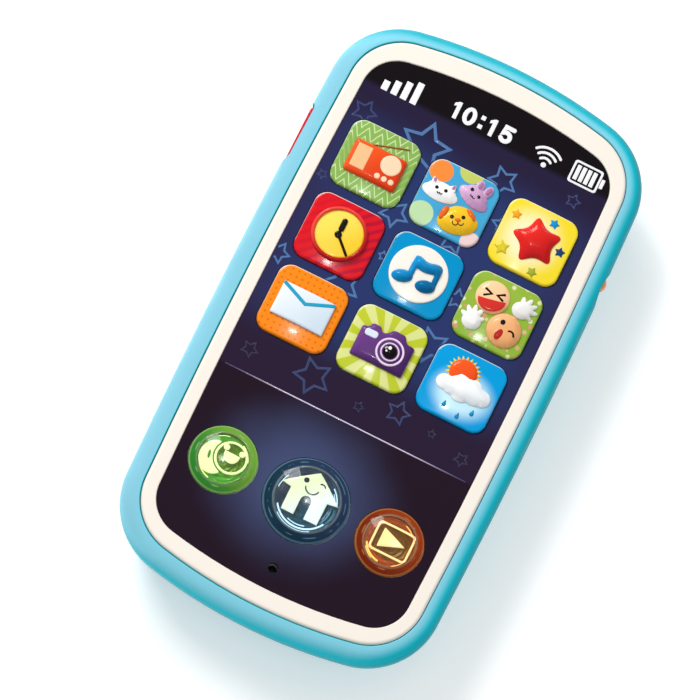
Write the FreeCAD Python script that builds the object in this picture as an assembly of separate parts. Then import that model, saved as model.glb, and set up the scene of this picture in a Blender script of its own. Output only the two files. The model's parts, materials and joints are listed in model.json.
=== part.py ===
import FreeCAD, Part

# Toy smartphone for a small child: a two-piece moulded case, a printed front panel, nine square picture
# keys, three round light-up keys, a volume rocker and a sliding power knob on the sides, and the
# electronics that make it play.
#
# Frame: origin in the middle of the flat back, +X to the right, +Y towards the status bar end,
# +Z out of the front. Units are millimetres. Each function below makes one node, or one group of
# identical pieces, and the list at the end writes one STEP file per node.

import math
import os

V = FreeCAD.Vector
UP = V(0, 0, 1)
PAST = 1.0                  # how far a cut runs past the face it opens

# ---- case -------------------------------------------------------------------------------------------
CASE_HALF_W = 40.0          # widest half width, at the middle of the long sides
CASE_HALF_L = 74.2          # half length, on the centre line
CASE_CORNER_R = 18.0        # radius of the outline's corners
CASE_SIDE_R = 1800.0        # the long sides bow outwards very slightly
CASE_END_R = 123.0          # the short ends are plainly curved
CASE_TOP = 22.0             # height of the rim above the back
RIM_R = 4.1                 # round between the rim and the widest line
BELLY_R = 12.0              # round below the widest line
TAPER = math.radians(20)    # lean of the wall below that
BACK_R = 7.6                # round between the wall and the flat back
WALL = 2.0                  # thickness of the moulding
RIB_LOW = 2.4               # a rib beside the rounded edge starts inside the wall, not below it
SEAM = 4.2                  # distance of the visible seam from the outline
LIP_R = 0.35                # round on the rim's inner edge, beside the seam
LIP_DEEP = 2.4              # height of the upright wall below that round

# ---- bezel and panel --------------------------------------------------------------------------------
SEAM_GAP = 0.15             # width of the seam
BEZEL_TOP = 22.2
DECK_LOW, DECK_HIGH = 19.0, 20.6      # plate that carries the panel and guides the keys
PANEL_TOP = 21.9
PANEL_Y = -0.4                        # the panel sits a little below the case's middle
PANEL_HALF_W, PANEL_HALF_L = 32.1, 65.0
PANEL_CORNER_R, PANEL_END_R = 9.0, 124.0
PANEL_GAP = 0.1
BEZEL_ROUND, FRAME_ROUND = 0.8, 0.3   # its outer and inner edges
SKIRT_LOW, SKIRT_T = 17.4, 1.2        # skirt that steadies the bezel inside the rim
MIC_HOLE = (0.0, -60.3, 1.2)          # x, y, radius

# ---- picture keys -----------------------------------------------------------------------------------
KEY_W, KEY_L, KEY_R = 17.5, 17.2, 3.2
KEY_PITCH_X, KEY_PITCH_Y = 20.25, 19.6
KEY_MID_Y = 17.0                      # height of the middle row
KEY_TOP = 23.1                        # crown of the cap at rest
KEY_CROWN_R = 110.0                   # the cap is slightly domed
KEY_EDGE_R = 0.6
KEY_WALL = 1.3
KEY_GAP = 0.2                         # between a key and its opening, each side
FLANGE = 0.8                          # how far the retaining flange stands out
FLANGE_LOW, FLANGE_HIGH = 17.95, 18.95
KEY_ROOF = 2.0                        # thickness of the cap's top, less at its sides
KEY_FOOT_R, KEY_RIB_T = 2.4, 1.0      # foot that presses the keypad, and the ribs that hold it
KEY_RIB_LOW = 19.2
FOOT_GAP = 0.05                       # between a foot and the rubber at rest
KEY_NAMES = [
    ["key_radio", "key_animals", "key_star"],
    ["key_clock", "key_music", "key_faces"],
    ["key_mail", "key_camera", "key_weather"],
]

# ---- round light-up keys: name, x, radius, dome height, distance of the two feet from the middle -----
LIGHT_Y = -42.9
LIGHT_KEYS = [
    ("dome_contacts", -21.0, 7.95, 2.4, 5.7),
    ("dome_home", 0.0, 10.05, 3.0, 7.6),
    ("dome_video", 21.0, 7.95, 2.4, 5.7),
]
DOME_SILL, DOME_ROUND = 0.3, 0.5      # upright edge above the panel, and the round over it
DOME_PEG_R = 1.3
LIGHT_WELL = 0.76                     # radius of the hollow under the dome, as a share of the dome's
WELL_TOP = 22.0                       # ceiling of that hollow, where the picture is printed

# ---- side controls ----------------------------------------------------------------------------------
SIDE_Y, SIDE_Z = 36.4, 16.9
SIDE_X = CASE_HALF_W - SIDE_Y ** 2 / (2 * CASE_SIDE_R)   # the case's half width at that height
ROCKER_L, ROCKER_H = 14.4, 4.8
ROCKER_PIVOT_X = -33.9
ROCKER_PIN_R = 0.7
ROCKER_FOOT_X, ROCKER_FOOT_Y = -33.5, 5.2
ROCKER_PLAY = 0.35                    # gap its feet close before the switches click
KNOB_R = 1.95                         # the power knob slides between two positions, up at rest
KNOB_TRAVEL = 3.0
SCOOP_Y = SIDE_Y - KNOB_TRAVEL / 2    # hollow for the fingertip, centred on the knob's travel
SCOOP_HALF_L, SCOOP_DEEP = 4.7, 1.0
SWITCH_X0, SWITCH_X1 = 30.1, 32.7     # side switches, inner and outer face from the middle
SWITCH_H = 2.8
PIN_GAP = 0.06                        # between a moulded pin and its socket, radially
SKIRT_OPEN = 9.5                      # half length of the skirt's opening where the side controls pass

# ---- boards -----------------------------------------------------------------------------------------
BOARD_LOW, BOARD_HIGH = 14.3, 15.5
BOARD_HALF_W, BOARD_Y0, BOARD_Y1 = 33.5, -53.0, 50.5
PAD_HALF_W = 29.6
PAD_HIGH = 16.3                       # top of the rubber keypad's sheet
BUMP_TOP = 17.6                       # top of the keypad's domes
BUMP_ROOF = 0.7                       # thickness of a dome's top
LED_R, LED_Z, LED_HOLE_R = 1.5, 17.4, 2.8              # lamps: radius, centre of the round tip, hole
BOARD_POSTS = [(sx * KEY_PITCH_X / 2, KEY_MID_Y + KEY_PITCH_Y / 2) for sx in (-1, 1)]
BOARD_POSTS += [(sx * 17.0, -26.0) for sx in (-1, 1)]
POST_R = 2.0

# ---- fasteners --------------------------------------------------------------------------------------
CASE_SCREWS = [(sx * 24.5, sy * 58.5) for sx in (-1, 1) for sy in (-1, 1)]
SCREW_R = 1.25
PILOT_R = 1.3
BOSS_R = 3.2
BOSS_SPLIT = 9.0                      # where the rear bosses meet the front ones
HEAD_R, HEAD_T = 2.5, 1.8             # case screws' heads
HEAD_WELL_R, HEAD_WELL_TOP = 2.9, 4.0 # recess in the back that takes a head and a screwdriver
SHANK_R = 1.6                         # clearance hole for a shank
SMALL_R, SMALL_PILOT_R = 0.9, 0.95    # the board's screws
SMALL_HEAD_R, SMALL_HEAD_T = 1.9, 1.1

# ---- batteries and their door -----------------------------------------------------------------------
CELL_R, CELL_L, CELL_X = 5.2, 44.5, 6.0
CELL_Z = 7.4
BAY_HALF_W, BAY_Y0, BAY_Y1, BAY_TOP = 12.4, -39.4, 12.2, 13.0
BAY_WALL = 1.2
TAIL_X, TAIL_W = 8.0, 3.0             # tails of the two terminals, bent out through slits in the bay
TAIL_LOW, TAIL_HIGH = 9.8, 10.2
CELL_GAP = 0.5                        # from a cell's button to the end wall
PLATE_T, PLATE_W, PLATE_HALF_H = 0.35, 9.0, 3.7        # contact plates
SPRING_TURNS = 4
SPRING_R0, SPRING_R1 = 3.6, 2.5       # the coil narrows towards the cell
SPRING_WIRE_R = 0.35
DOOR_HALF_W, DOOR_Y1 = 13.4, 20.4
DOOR_T = 1.8
DOOR_AXIS_Y = -40.2                   # the door swings about its rounded lower edge
DOOR_GAP = 0.12
DOOR_SCREW_Y = 16.8
LEDGE_TOP, DOOR_BOSS_TOP = 3.4, 9.5
TAB_TOP = 3.2
DOOR_RIBS, DOOR_RIB_PITCH, DOOR_RIB_Y = 4, 1.8, 8.4    # finger ribs across the outside
TABS = [(-11.1, 2.0), (0.0, 4.6), (11.1, 2.0)]         # middle and width of each, clear of the cells

# ---- speaker ----------------------------------------------------------------------------------------
SPEAKER_Y, SPEAKER_R = 38.0, 14.0
SPEAKER_Z = 2.6                       # front of its flange, just behind the grille
SPEAKER_SCREW_X = 18.6
SEAT_TOP = 4.4                        # ring and bosses in the back that locate the speaker
SEAT_BOSS_R, SEAT_PILOT_R = 2.4, 1.05
GRILLE_R = 0.9
GRILLE_RINGS = ((3.6, 6), (7.2, 12), (10.8, 18))       # radius and number of holes
RETAINER_LOW, RETAINER_HIGH = 4.45, 5.6


# ---- small helpers ----------------------------------------------------------------------------------
def box(x0, x1, y0, y1, z0, z1):
    return Part.makeBox(x1 - x0, y1 - y0, z1 - z0, V(x0, y0, z0))


def rod(r, x, y, z0, z1):
    """Upright cylinder."""
    return Part.makeCylinder(r, z1 - z0, V(x, y, z0), UP)


def turned(points, x=0.0, y=0.0):
    """Solid of revolution about the upright line through x, y, from (radius, z) corners."""
    wire = Part.makePolygon([V(r, 0, z) for r, z in points + points[:1]])
    solid = Part.Face(wire).revolve(V(0, 0, 0), UP, 360)
    solid.translate(V(x, y, 0))
    return solid


def slab(wire, z0, z1):
    """The area inside a wire drawn at height 0, raised from z0 to z1."""
    solid = Part.Face(wire).extrude(V(0, 0, z1 - z0))
    solid.translate(V(0, 0, z0))
    return solid


def rounded_rect(w, l, r, x=0.0, y=0.0):
    """Rectangle with round corners, w by l, centred on x, y."""
    a, b = w / 2 - r, l / 2 - r
    edges = []
    for k, (cx, cy) in enumerate([(a, b), (-a, b), (-a, -b), (a, -b)]):
        centre = V(x + cx, y + cy, 0)
        start = math.pi / 2 * k
        edges.append(Part.Arc(Part.Circle(centre, UP, r), start, start + math.pi / 2).toShape())
    for k in range(4):
        p, q = edges[k].Vertexes[-1].Point, edges[(k + 1) % 4].Vertexes[0].Point
        edges.append(Part.makeLine(p, q))
    return Part.Wire(Part.__sortEdges__(edges))


def outline_arcs(half_w, half_l, corner_r, side_r, end_r):
    """The eight arcs of a phone outline, anticlockwise, each as (centre, radius, start, end)."""
    sx, ey = half_w - side_r, half_l - end_r          # centres of the side and end arcs
    a, b = side_r - corner_r, end_r - corner_r        # their distances from the corner's centre
    span = math.hypot(sx, ey)
    along = (a * a - b * b + span * span) / (2 * span)
    off = math.sqrt(a * a - along * along)
    ux, uy = -sx / span, ey / span
    cx, cy = sx + ux * along - uy * off, uy * along + ux * off
    if cx < 0 or cy < 0:
        cx, cy = sx + ux * along + uy * off, uy * along - ux * off
    low = math.atan2(cy, cx - sx)
    high = math.atan2(cy - ey, cx)
    turn = math.pi
    return [
        ((sx, 0), side_r, -low, low),
        ((cx, cy), corner_r, low, high),
        ((0, ey), end_r, high, turn - high),
        ((-cx, cy), corner_r, turn - high, turn - low),
        ((-sx, 0), side_r, turn - low, turn + low),
        ((-cx, -cy), corner_r, turn + low, turn + high),
        ((0, -ey), end_r, turn + high, 2 * turn - high),
        ((cx, -cy), corner_r, 2 * turn - high, 2 * turn - low),
    ]


def case_arcs(inset=0.0):
    return outline_arcs(CASE_HALF_W - inset, CASE_HALF_L - inset, CASE_CORNER_R - inset,
                        CASE_SIDE_R - inset, CASE_END_R - inset)


def panel_arcs(grow=0.0):
    arcs = outline_arcs(PANEL_HALF_W + grow, PANEL_HALF_L + grow, PANEL_CORNER_R + grow,
                        CASE_SIDE_R + grow, PANEL_END_R + grow)
    return [((c[0], c[1] + PANEL_Y), r, start, end) for c, r, start, end in arcs]


def arcs_wire(arcs):
    edges = [Part.Arc(Part.Circle(V(c[0], c[1], 0), UP, r), a, b).toShape() for c, r, a, b in arcs]
    return Part.Wire(edges)


def section_face(section, place):
    """Face inside a closed section: a list of (inset, z) points, where a triple of points is an arc
    through the three. place turns a point of the section into a point in space."""
    edges = []
    first = last = None
    for item in section:
        points = item if isinstance(item[0], tuple) else (item,)
        start, end = place(points[0]), place(points[-1])
        if last is not None and (start - last).Length > 1e-6:
            edges.append(Part.makeLine(last, start))
        if len(points) == 3:
            edges.append(Part.Arc(start, place(points[1]), end).toShape())
        first = first or start
        last = end
    if (first - last).Length > 1e-6:
        edges.append(Part.makeLine(last, first))
    return Part.Face(Part.Wire(edges))


def swept(section, arcs):
    """A section, as for section_face, carried round an outline."""
    pieces = []
    for c, r, a, b in arcs:
        face = section_face(section, lambda p: V(c[0] + (r - p[0]) * math.cos(a),
                                                 c[1] + (r - p[0]) * math.sin(a), p[1]))
        pieces.append(face.revolve(V(c[0], c[1], 0), UP, math.degrees(b - a)))
    return pieces[0].multiFuse(pieces[1:]).removeSplitter()


def edges_at(shape, z, keep=lambda edge: True):
    """The edges that lie flat at height z."""
    found = []
    for edge in shape.Edges:
        b = edge.BoundBox
        if abs(b.ZMin - z) < 1e-4 and abs(b.ZMax - z) < 1e-4 and keep(edge):
            found.append(edge)
    return found


def tube(points, r):
    """Round wire of radius r through the points."""
    curve = Part.BSplineCurve()
    curve.interpolate([V(*p) for p in points])
    path = curve.toShape()
    start, along = curve.value(curve.FirstParameter), curve.tangent(curve.FirstParameter)[0]
    ring = Part.Wire(Part.makeCircle(r, start, along))
    return Part.Wire(path).makePipeShell([ring], True, True)


def key_places():
    """(name, x, y) of the nine picture keys, top row first."""
    for row, names in enumerate(KEY_NAMES):
        for column, name in enumerate(names):
            yield name, (column - 1) * KEY_PITCH_X, KEY_MID_Y + (1 - row) * KEY_PITCH_Y


def key_openings(z0, z1):
    """Everything the keys and the microphone pass through in a plate."""
    holes = []
    for _, x, y in key_places():
        w, l, r = KEY_W + 2 * KEY_GAP, KEY_L + 2 * KEY_GAP, KEY_R + KEY_GAP
        holes.append(slab(rounded_rect(w, l, r, x, y), z0, z1))
    for _, x, r, _, _ in LIGHT_KEYS:
        holes.append(rod(r + KEY_GAP, x, LIGHT_Y, z0, z1))
    holes.append(rod(MIC_HOLE[2], MIC_HOLE[0], MIC_HOLE[1], z0, z1))
    return holes


# ---- case -------------------------------------------------------------------------------------------
def wall_section():
    """Section of the rear housing's wall as (inset from the outline, height)."""
    widest = CASE_TOP - RIM_R
    lean = (BELLY_R * (1 - math.cos(TAPER)), widest - BELLY_R * math.sin(TAPER))
    half = TAPER / 2
    belly_mid = (BELLY_R * (1 - math.cos(half)), widest - BELLY_R * math.sin(half))
    foot = lean[0] + lean[1] * math.tan(TAPER)                  # where the leaning wall meets z 0
    reach = BACK_R * math.tan((math.pi / 2 - TAPER) / 2)
    back_start = (foot - reach * math.sin(TAPER), reach * math.cos(TAPER))
    back_end = (foot + reach, 0.0)
    turn = (math.pi / 2 + TAPER) / 2
    back_mid = (back_end[0] - BACK_R * math.cos(turn), BACK_R * (1 - math.sin(turn)))
    rim_mid = (RIM_R * (1 - math.cos(math.pi / 4)), widest + RIM_R * math.sin(math.pi / 4))
    lip_mid = (SEAM - LIP_R * (1 - math.sin(math.pi / 4)), CASE_TOP - LIP_R * (1 - math.cos(math.pi / 4)))

    def inside(angle):
        """Point of the back round's inner face; 0 looks outwards and a quarter turn looks down."""
        r = BACK_R - WALL
        return (back_end[0] - r * math.cos(angle), BACK_R - r * math.sin(angle))

    section = [
        ((SEAM - LIP_R, CASE_TOP), lip_mid, (SEAM, CASE_TOP - LIP_R)),
        (SEAM, CASE_TOP - LIP_DEEP),
        (WALL + 0.1, widest - 0.2),
        (lean[0] + WALL * math.cos(TAPER), lean[1] - WALL * math.sin(TAPER)),
        (inside(TAPER), inside(turn), inside(math.pi / 2)),
        (back_end, back_mid, back_start),
        (lean, belly_mid, (0.0, widest)),
        ((0.0, widest), rim_mid, (SEAM - LIP_R, CASE_TOP)),
    ]
    return section, back_end[0]


def rear_housing():
    section, flat = wall_section()
    solid = swept(section, case_arcs())
    solid = solid.fuse(slab(arcs_wire(case_arcs(flat)), 0, WALL))
    solid = solid.multiFuse(speaker_seat() + bay_walls() + rocker_rib()
                            + [rod(BOSS_R, x, y, 0.5, BOSS_SPLIT) for x, y in CASE_SCREWS])
    gone = grille_holes() + bay_openings() + side_openings()
    for x, y in CASE_SCREWS:
        gone.append(rod(HEAD_WELL_R, x, y, -PAST, HEAD_WELL_TOP))
        gone.append(rod(SHANK_R, x, y, 0, BOSS_SPLIT + PAST))
    for side in (-1, 1):
        gone.append(rod(SEAT_PILOT_R, side * SPEAKER_SCREW_X, SPEAKER_Y, WALL, SEAT_TOP + PAST))
    return solid.cut(gone[0].multiFuse(gone[1:]))


def speaker_seat():
    """Ring and two bosses that stand on the back round the speaker."""
    ring = rod(SPEAKER_R + 1.5, 0, SPEAKER_Y, WALL / 2, SEAT_TOP)
    ring = ring.cut(rod(SPEAKER_R + 0.3, 0, SPEAKER_Y, 0, SEAT_TOP + PAST))
    return [ring] + [rod(SEAT_BOSS_R, side * SPEAKER_SCREW_X, SPEAKER_Y, WALL / 2, SEAT_TOP)
                     for side in (-1, 1)]


def bay_walls():
    """Walls round the cells, the ledge behind the door and the boss for the door's screw."""
    out = BAY_HALF_W + BAY_WALL
    walls = box(-out, out, BAY_Y0 - BAY_WALL, BAY_Y1 + BAY_WALL, WALL / 2, BAY_TOP + 1.0)
    ledge = rounded_rect(2 * DOOR_HALF_W + 3.6, DOOR_Y1 - BAY_Y0 + 6.0, 2.0,
                         0, (DOOR_Y1 + BAY_Y0) / 2 - 0.8)
    return [walls, slab(ledge, WALL / 2, LEDGE_TOP), rod(BOSS_R, 0, DOOR_SCREW_Y, WALL / 2, DOOR_BOSS_TOP)]


def rocker_rib():
    """Socket under the volume rocker's lower pin, on a rib that stands up from the back's rounded edge."""
    y0, y1, high = SIDE_Y - 2.3, SIDE_Y + 2.3, SIDE_Z - ROCKER_H / 2 - 0.75
    return [box(ROCKER_PIVOT_X - 2.9, ROCKER_PIVOT_X + 2.3, y0, y1, BOSS_SPLIT, high),
            box(ROCKER_PIVOT_X + 0.1, ROCKER_PIVOT_X + 2.3, y0, y1, RIB_LOW, high)]


def bay_openings():
    """The bay, the recess for the door, its screw's pilot hole, and slits for its tabs and the tails."""
    gone = [box(-BAY_HALF_W, BAY_HALF_W, BAY_Y0, BAY_Y1, -PAST, BAY_TOP)]
    wide = DOOR_HALF_W + DOOR_GAP
    low, high = DOOR_AXIS_Y - DOOR_T / 2 - DOOR_GAP, DOOR_Y1 + DOOR_GAP
    recess = rounded_rect(2 * wide, high - low, 1.5, 0, (high + low) / 2)
    gone.append(slab(recess, -PAST, DOOR_T + 0.1))
    gone.append(box(-wide, wide, low, low + 3, -PAST, DOOR_T + 0.1))
    gone.append(rod(PILOT_R + 0.1, 0, DOOR_SCREW_Y, 0, DOOR_BOSS_TOP - 0.5))
    for x, width in TABS:
        x0, x1 = x - width / 2 - 0.3, x + width / 2 + 0.3
        gone.append(box(x0, x1, BAY_Y0 - 4.6, BAY_Y0 + 0.1, WALL, TAB_TOP + 2.2))
        gone.append(box(x0, x1, low, BAY_Y0 + 0.1, 1.5, TAB_TOP + 2.2))
    half = TAIL_W / 2 + 0.2
    for x in (-TAIL_X, TAIL_X):
        gone.append(box(x - half, x + half, BAY_Y1 - 0.1, BAY_Y1 + BAY_WALL + 0.1,
                        TAIL_LOW - 0.2, TAIL_HIGH + 0.2))
    return gone


def side_openings():
    """Flat, window and pin socket of the rocker; fingertip hollow and slot of the power knob."""
    outside = SIDE_X + 3
    gone = [
        rounded_side(SIDE_Y, ROCKER_L + 1.6, ROCKER_H + 2.0, 2.2, -outside, -(SIDE_X - 1.1)),
        rounded_side(SIDE_Y, ROCKER_L + 1.0, ROCKER_H + 0.5, 2.0, -outside, -35.0),
        rod(ROCKER_PIN_R + PIN_GAP, ROCKER_PIVOT_X, SIDE_Y, SIDE_Z - ROCKER_H / 2 - 2.0, DECK_HIGH),
    ]
    scoop_r = (SCOOP_HALF_L ** 2 + SCOOP_DEEP ** 2) / (2 * SCOOP_DEEP)
    gone.append(Part.makeSphere(scoop_r, V(SIDE_X + scoop_r - SCOOP_DEEP, SCOOP_Y, SIDE_Z)))
    slot = 2 * (KNOB_R + KEY_GAP)
    gone.append(rounded_side(SCOOP_Y, slot + KNOB_TRAVEL, slot, slot / 2 - 0.01, 35.5, outside))
    return gone


def grille_holes():
    """Rings of small round holes in front of the speaker."""
    low, high = -PAST, WALL + 0.5
    holes = [rod(GRILLE_R, 0, SPEAKER_Y, low, high)]
    for ring, count in GRILLE_RINGS:
        for k in range(count):
            a = 2 * math.pi * k / count
            holes.append(rod(GRILLE_R, ring * math.cos(a), SPEAKER_Y + ring * math.sin(a), low, high))
    return holes


def rounded_side(y, length, height, r, x0, x1):
    """Block from x0 to x1 with a rounded rectangular section, at the height of the side controls."""
    face = Part.Face(rounded_rect(length, height, r))
    face.rotate(V(0, 0, 0), V(0, 0, 1), 90)
    face.rotate(V(0, 0, 0), V(0, 1, 0), 90)
    face.translate(V(x0, y, SIDE_Z))
    return face.extrude(V(x1 - x0, 0, 0))


def beside_panel(edge):
    """Whether an edge runs along the panel's outline."""
    point = edge.Vertexes[0].Point
    return abs(point.x) < PANEL_HALF_W + 1 and abs(point.y - PANEL_Y) < PANEL_HALF_L + 1


def front_bezel():
    edge = SEAM + SEAM_GAP
    solid = slab(arcs_wire(case_arcs(edge)), DECK_LOW, BEZEL_TOP)
    solid = solid.makeFillet(BEZEL_ROUND, edges_at(solid, BEZEL_TOP))
    solid = solid.cut(slab(arcs_wire(panel_arcs(PANEL_GAP)), DECK_HIGH, BEZEL_TOP + 1))
    solid = solid.makeFillet(FRAME_ROUND, edges_at(solid, BEZEL_TOP, beside_panel))
    skirt = swept([(edge, DECK_LOW), (edge, SKIRT_LOW), (edge + SKIRT_T, SKIRT_LOW),
                   (edge + SKIRT_T, DECK_LOW)], case_arcs())
    skirt = skirt.cut(box(-CASE_HALF_W, CASE_HALF_W, SIDE_Y - SKIRT_OPEN, SIDE_Y + SKIRT_OPEN,
                          SKIRT_LOW - PAST, DECK_LOW))
    grown = [skirt]
    for x, y in CASE_SCREWS:
        grown.append(rod(BOSS_R, x, y, BOSS_SPLIT + 0.1, DECK_LOW + 0.5))
    for x, y in BOARD_POSTS:
        grown.append(rod(POST_R, x, y, BOARD_HIGH + 0.02, DECK_LOW + 0.5))
    # socket over the volume rocker's upper pin
    socket_low = SIDE_Z + ROCKER_H / 2 - 1.2
    grown.append(box(ROCKER_PIVOT_X - 1.3, ROCKER_PIVOT_X + 1.3, SIDE_Y - 1.6, SIDE_Y + 1.6,
                     socket_low, DECK_LOW + 0.2))
    solid = solid.multiFuse(grown)
    gone = key_openings(DECK_LOW - 3, BEZEL_TOP + 1)
    for x, y in CASE_SCREWS:
        gone.append(rod(PILOT_R, x, y, BOSS_SPLIT, DECK_LOW))
    for x, y in BOARD_POSTS:
        gone.append(rod(SMALL_PILOT_R, x, y, BOARD_HIGH, DECK_LOW + 0.2))
    gone.append(rod(ROCKER_PIN_R + PIN_GAP, ROCKER_PIVOT_X, SIDE_Y, socket_low - 1, socket_low + 1.5))
    return solid.cut(gone[0].multiFuse(gone[1:]))


def screen_panel():
    solid = slab(arcs_wire(panel_arcs()), DECK_HIGH, PANEL_TOP)
    gone = key_openings(DECK_HIGH - 1, PANEL_TOP + 1)
    return solid.cut(gone[0].multiFuse(gone[1:]))


def screw(x, y, head_z, tip_z, head_r, r, head_t):
    """Pan-head screw pointing up, its head at the bottom, with a cross recess."""
    head = turned([(0, head_z), (head_r * 0.7, head_z), (head_r, head_z + head_t * 0.5),
                   (head_r, head_z + head_t), (r, head_z + head_t), (r, tip_z - r),
                   (r * 0.35, tip_z), (0, tip_z)], x, y)
    arm, wide = head_r * 0.62, head_r * 0.12
    for a, b in ((arm, wide), (wide, arm)):
        head = head.cut(box(x - a, x + a, y - b, y + b, head_z - 1, head_z + head_t * 0.55))
    return head


def case_screws():
    head_z, tip_z = 2.15, 17.5
    return [screw(x, y, head_z, tip_z, HEAD_R, SCREW_R, HEAD_T) for x, y in CASE_SCREWS]


def battery_door():
    r = DOOR_T / 2
    plate = rounded_rect(2 * DOOR_HALF_W, DOOR_Y1 - DOOR_AXIS_Y, 1.4, 0, (DOOR_Y1 + DOOR_AXIS_Y) / 2)
    solid = slab(plate, 0, DOOR_T)
    square = DOOR_AXIS_Y + 1.5                          # below this the plate's corners are square
    solid = solid.cut(box(-CASE_HALF_W, CASE_HALF_W, DOOR_AXIS_Y - PAST, square, -PAST, DOOR_T + PAST))
    grown = [box(-DOOR_HALF_W, DOOR_HALF_W, DOOR_AXIS_Y, square, 0, DOOR_T)]
    grown.append(Part.makeCylinder(r, 2 * DOOR_HALF_W, V(-DOOR_HALF_W, DOOR_AXIS_Y, r), V(1, 0, 0)))
    for x, width in TABS:
        x0, x1 = x - width / 2, x + width / 2
        grown.append(box(x0, x1, BAY_Y0 + 0.25, BAY_Y0 + 1.6, DOOR_T - 0.1, TAB_TOP))
        grown.append(box(x0, x1, BAY_Y0 - 3.6, BAY_Y0 + 1.6, WALL + 0.15, TAB_TOP))
    solid = solid.multiFuse(grown)
    gone = [rod(HEAD_WELL_R, 0, DOOR_SCREW_Y, -PAST, r), rod(SHANK_R, 0, DOOR_SCREW_Y, 0, DOOR_T + PAST)]
    for k in range(DOOR_RIBS):
        y = DOOR_RIB_Y - DOOR_RIB_PITCH * k
        gone.append(box(-6, 6, y, y + 0.6, -PAST, 0.35))
    return solid.cut(gone[0].multiFuse(gone[1:])).removeSplitter()


def battery_door_screw():
    # sunk head, and a shank short enough to leave the boss as the door swings out
    return screw(0, DOOR_SCREW_Y, 0.05, 4.9, 2.6, SCREW_R, 0.8)


# ---- keys -------------------------------------------------------------------------------------------
def picture_key(x, y):
    cap = slab(rounded_rect(KEY_W, KEY_L, KEY_R), FLANGE_LOW, KEY_TOP + 1)
    cap = cap.common(Part.makeSphere(KEY_CROWN_R, V(0, 0, KEY_TOP - KEY_CROWN_R)))
    rim = [e for e in cap.Edges if e.BoundBox.ZMin > KEY_TOP - 2]
    cap = cap.makeFillet(KEY_EDGE_R, rim)
    flange = slab(rounded_rect(KEY_W + 2 * FLANGE, KEY_L + 2 * FLANGE, KEY_R + FLANGE),
                  FLANGE_LOW, FLANGE_HIGH)
    hollow = slab(rounded_rect(KEY_W - 2 * KEY_WALL, KEY_L - 2 * KEY_WALL, KEY_R - KEY_WALL),
                  FLANGE_LOW - PAST, KEY_TOP - KEY_ROOF)
    solid = cap.fuse(flange).cut(hollow)
    inside, half, top = KEY_WALL - 0.3, KEY_RIB_T / 2, KEY_TOP - KEY_ROOF + 0.4
    foot = [rod(KEY_FOOT_R, 0, 0, BUMP_TOP + FOOT_GAP, top)]
    foot.append(box(inside - KEY_W / 2, KEY_W / 2 - inside, -half, half, KEY_RIB_LOW, top))
    foot.append(box(-half, half, inside - KEY_L / 2, KEY_L / 2 - inside, KEY_RIB_LOW, top))
    solid = solid.multiFuse(foot).removeSplitter()
    solid.translate(V(x, y, 0))
    return solid


def light_key(x, r, height, foot):
    """Clear bubble over the panel, with a well under it for the picture and the light."""
    base = PANEL_TOP + DOME_SILL
    ball = (r * r + height * height) / (2 * height)
    body = rod(r, 0, 0, FLANGE_LOW, base + height + 1)
    body = body.common(Part.makeSphere(ball, V(0, 0, base + height - ball)))
    body = body.makeFillet(DOME_ROUND, edges_at(body, base))
    flange = rod(r + FLANGE, 0, 0, FLANGE_LOW, FLANGE_HIGH)
    well_r = r * LIGHT_WELL
    low = FLANGE_LOW - PAST
    well = turned([(0, low), (well_r + 0.4, low), (well_r, WELL_TOP - 0.5), (well_r - 0.5, WELL_TOP),
                   (0, WELL_TOP)])
    solid = body.fuse(flange).cut(well)
    for side in (-1, 1):
        peg = rod(DOME_PEG_R, side * foot, 0, BUMP_TOP + FOOT_GAP, FLANGE_HIGH + 0.5)
        solid = solid.fuse(peg)
    solid = solid.removeSplitter()
    solid.translate(V(x, LIGHT_Y, 0))
    return solid


def volume_rocker():
    """Long side key that tilts on two moulded pins and presses a switch with either foot."""
    face_x = -(SIDE_X - 0.2)
    body = rounded_side(SIDE_Y, ROCKER_L, ROCKER_H, 1.9, face_x, -36.6)
    body = body.makeFillet(0.5, [e for e in body.Edges if abs(e.BoundBox.XMax - face_x) < 1e-3])
    low, high = SIDE_Z - 1.2, SIDE_Z + 1.2
    arms = [box(-37, ROCKER_PIVOT_X + 0.2, SIDE_Y - 0.9, SIDE_Y + 0.9, low, high)]
    for y in switch_rows():
        arms.append(box(-37, ROCKER_FOOT_X, y - 1.0, y + 1.0, low, high))
    pin = rod(ROCKER_PIN_R, ROCKER_PIVOT_X, SIDE_Y, SIDE_Z - ROCKER_H / 2 - 1.9,
              SIDE_Z + ROCKER_H / 2 + 0.2)
    return body.multiFuse(arms + [pin]).removeSplitter()


def power_knob():
    """Domed knob on a plate behind the wall, with a fork that carries the switch's lever."""
    dome = 1.3
    tip = SIDE_X + 0.4
    plate_x0, plate_x1 = 35.0, 36.2
    ball = (KNOB_R ** 2 + dome ** 2) / (2 * dome)
    half_way = math.asin(KNOB_R / ball) / 2
    shoulder = (ball * math.sin(half_way), tip - ball + ball * math.cos(half_way))
    section = [(0.0, plate_x1 - 0.2), (KNOB_R, plate_x1 - 0.2), ((KNOB_R, tip - dome), shoulder, (0.0, tip))]
    half = section_face(section, lambda p: V(p[1], p[0], 0))
    boss = half.revolve(V(0, 0, 0), V(1, 0, 0), 360)
    boss.translate(V(0, SIDE_Y, SIDE_Z))
    reach = KNOB_R + KEY_GAP + KNOB_TRAVEL + 0.3        # keeps the slot covered at either end
    pieces = [box(plate_x0, plate_x1, SIDE_Y - reach, SIDE_Y + reach, SIDE_Z - 2.5, SIDE_Z + 1.6)]
    for side in (-1, 1):
        y0, y1 = sorted((SIDE_Y + side * 0.65, SIDE_Y + side * 1.65))
        pieces.append(box(33.7, plate_x0 + 0.1, y0, y1, SIDE_Z - 1.1, SIDE_Z + 1.1))
    return boss.multiFuse(pieces).removeSplitter()


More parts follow.
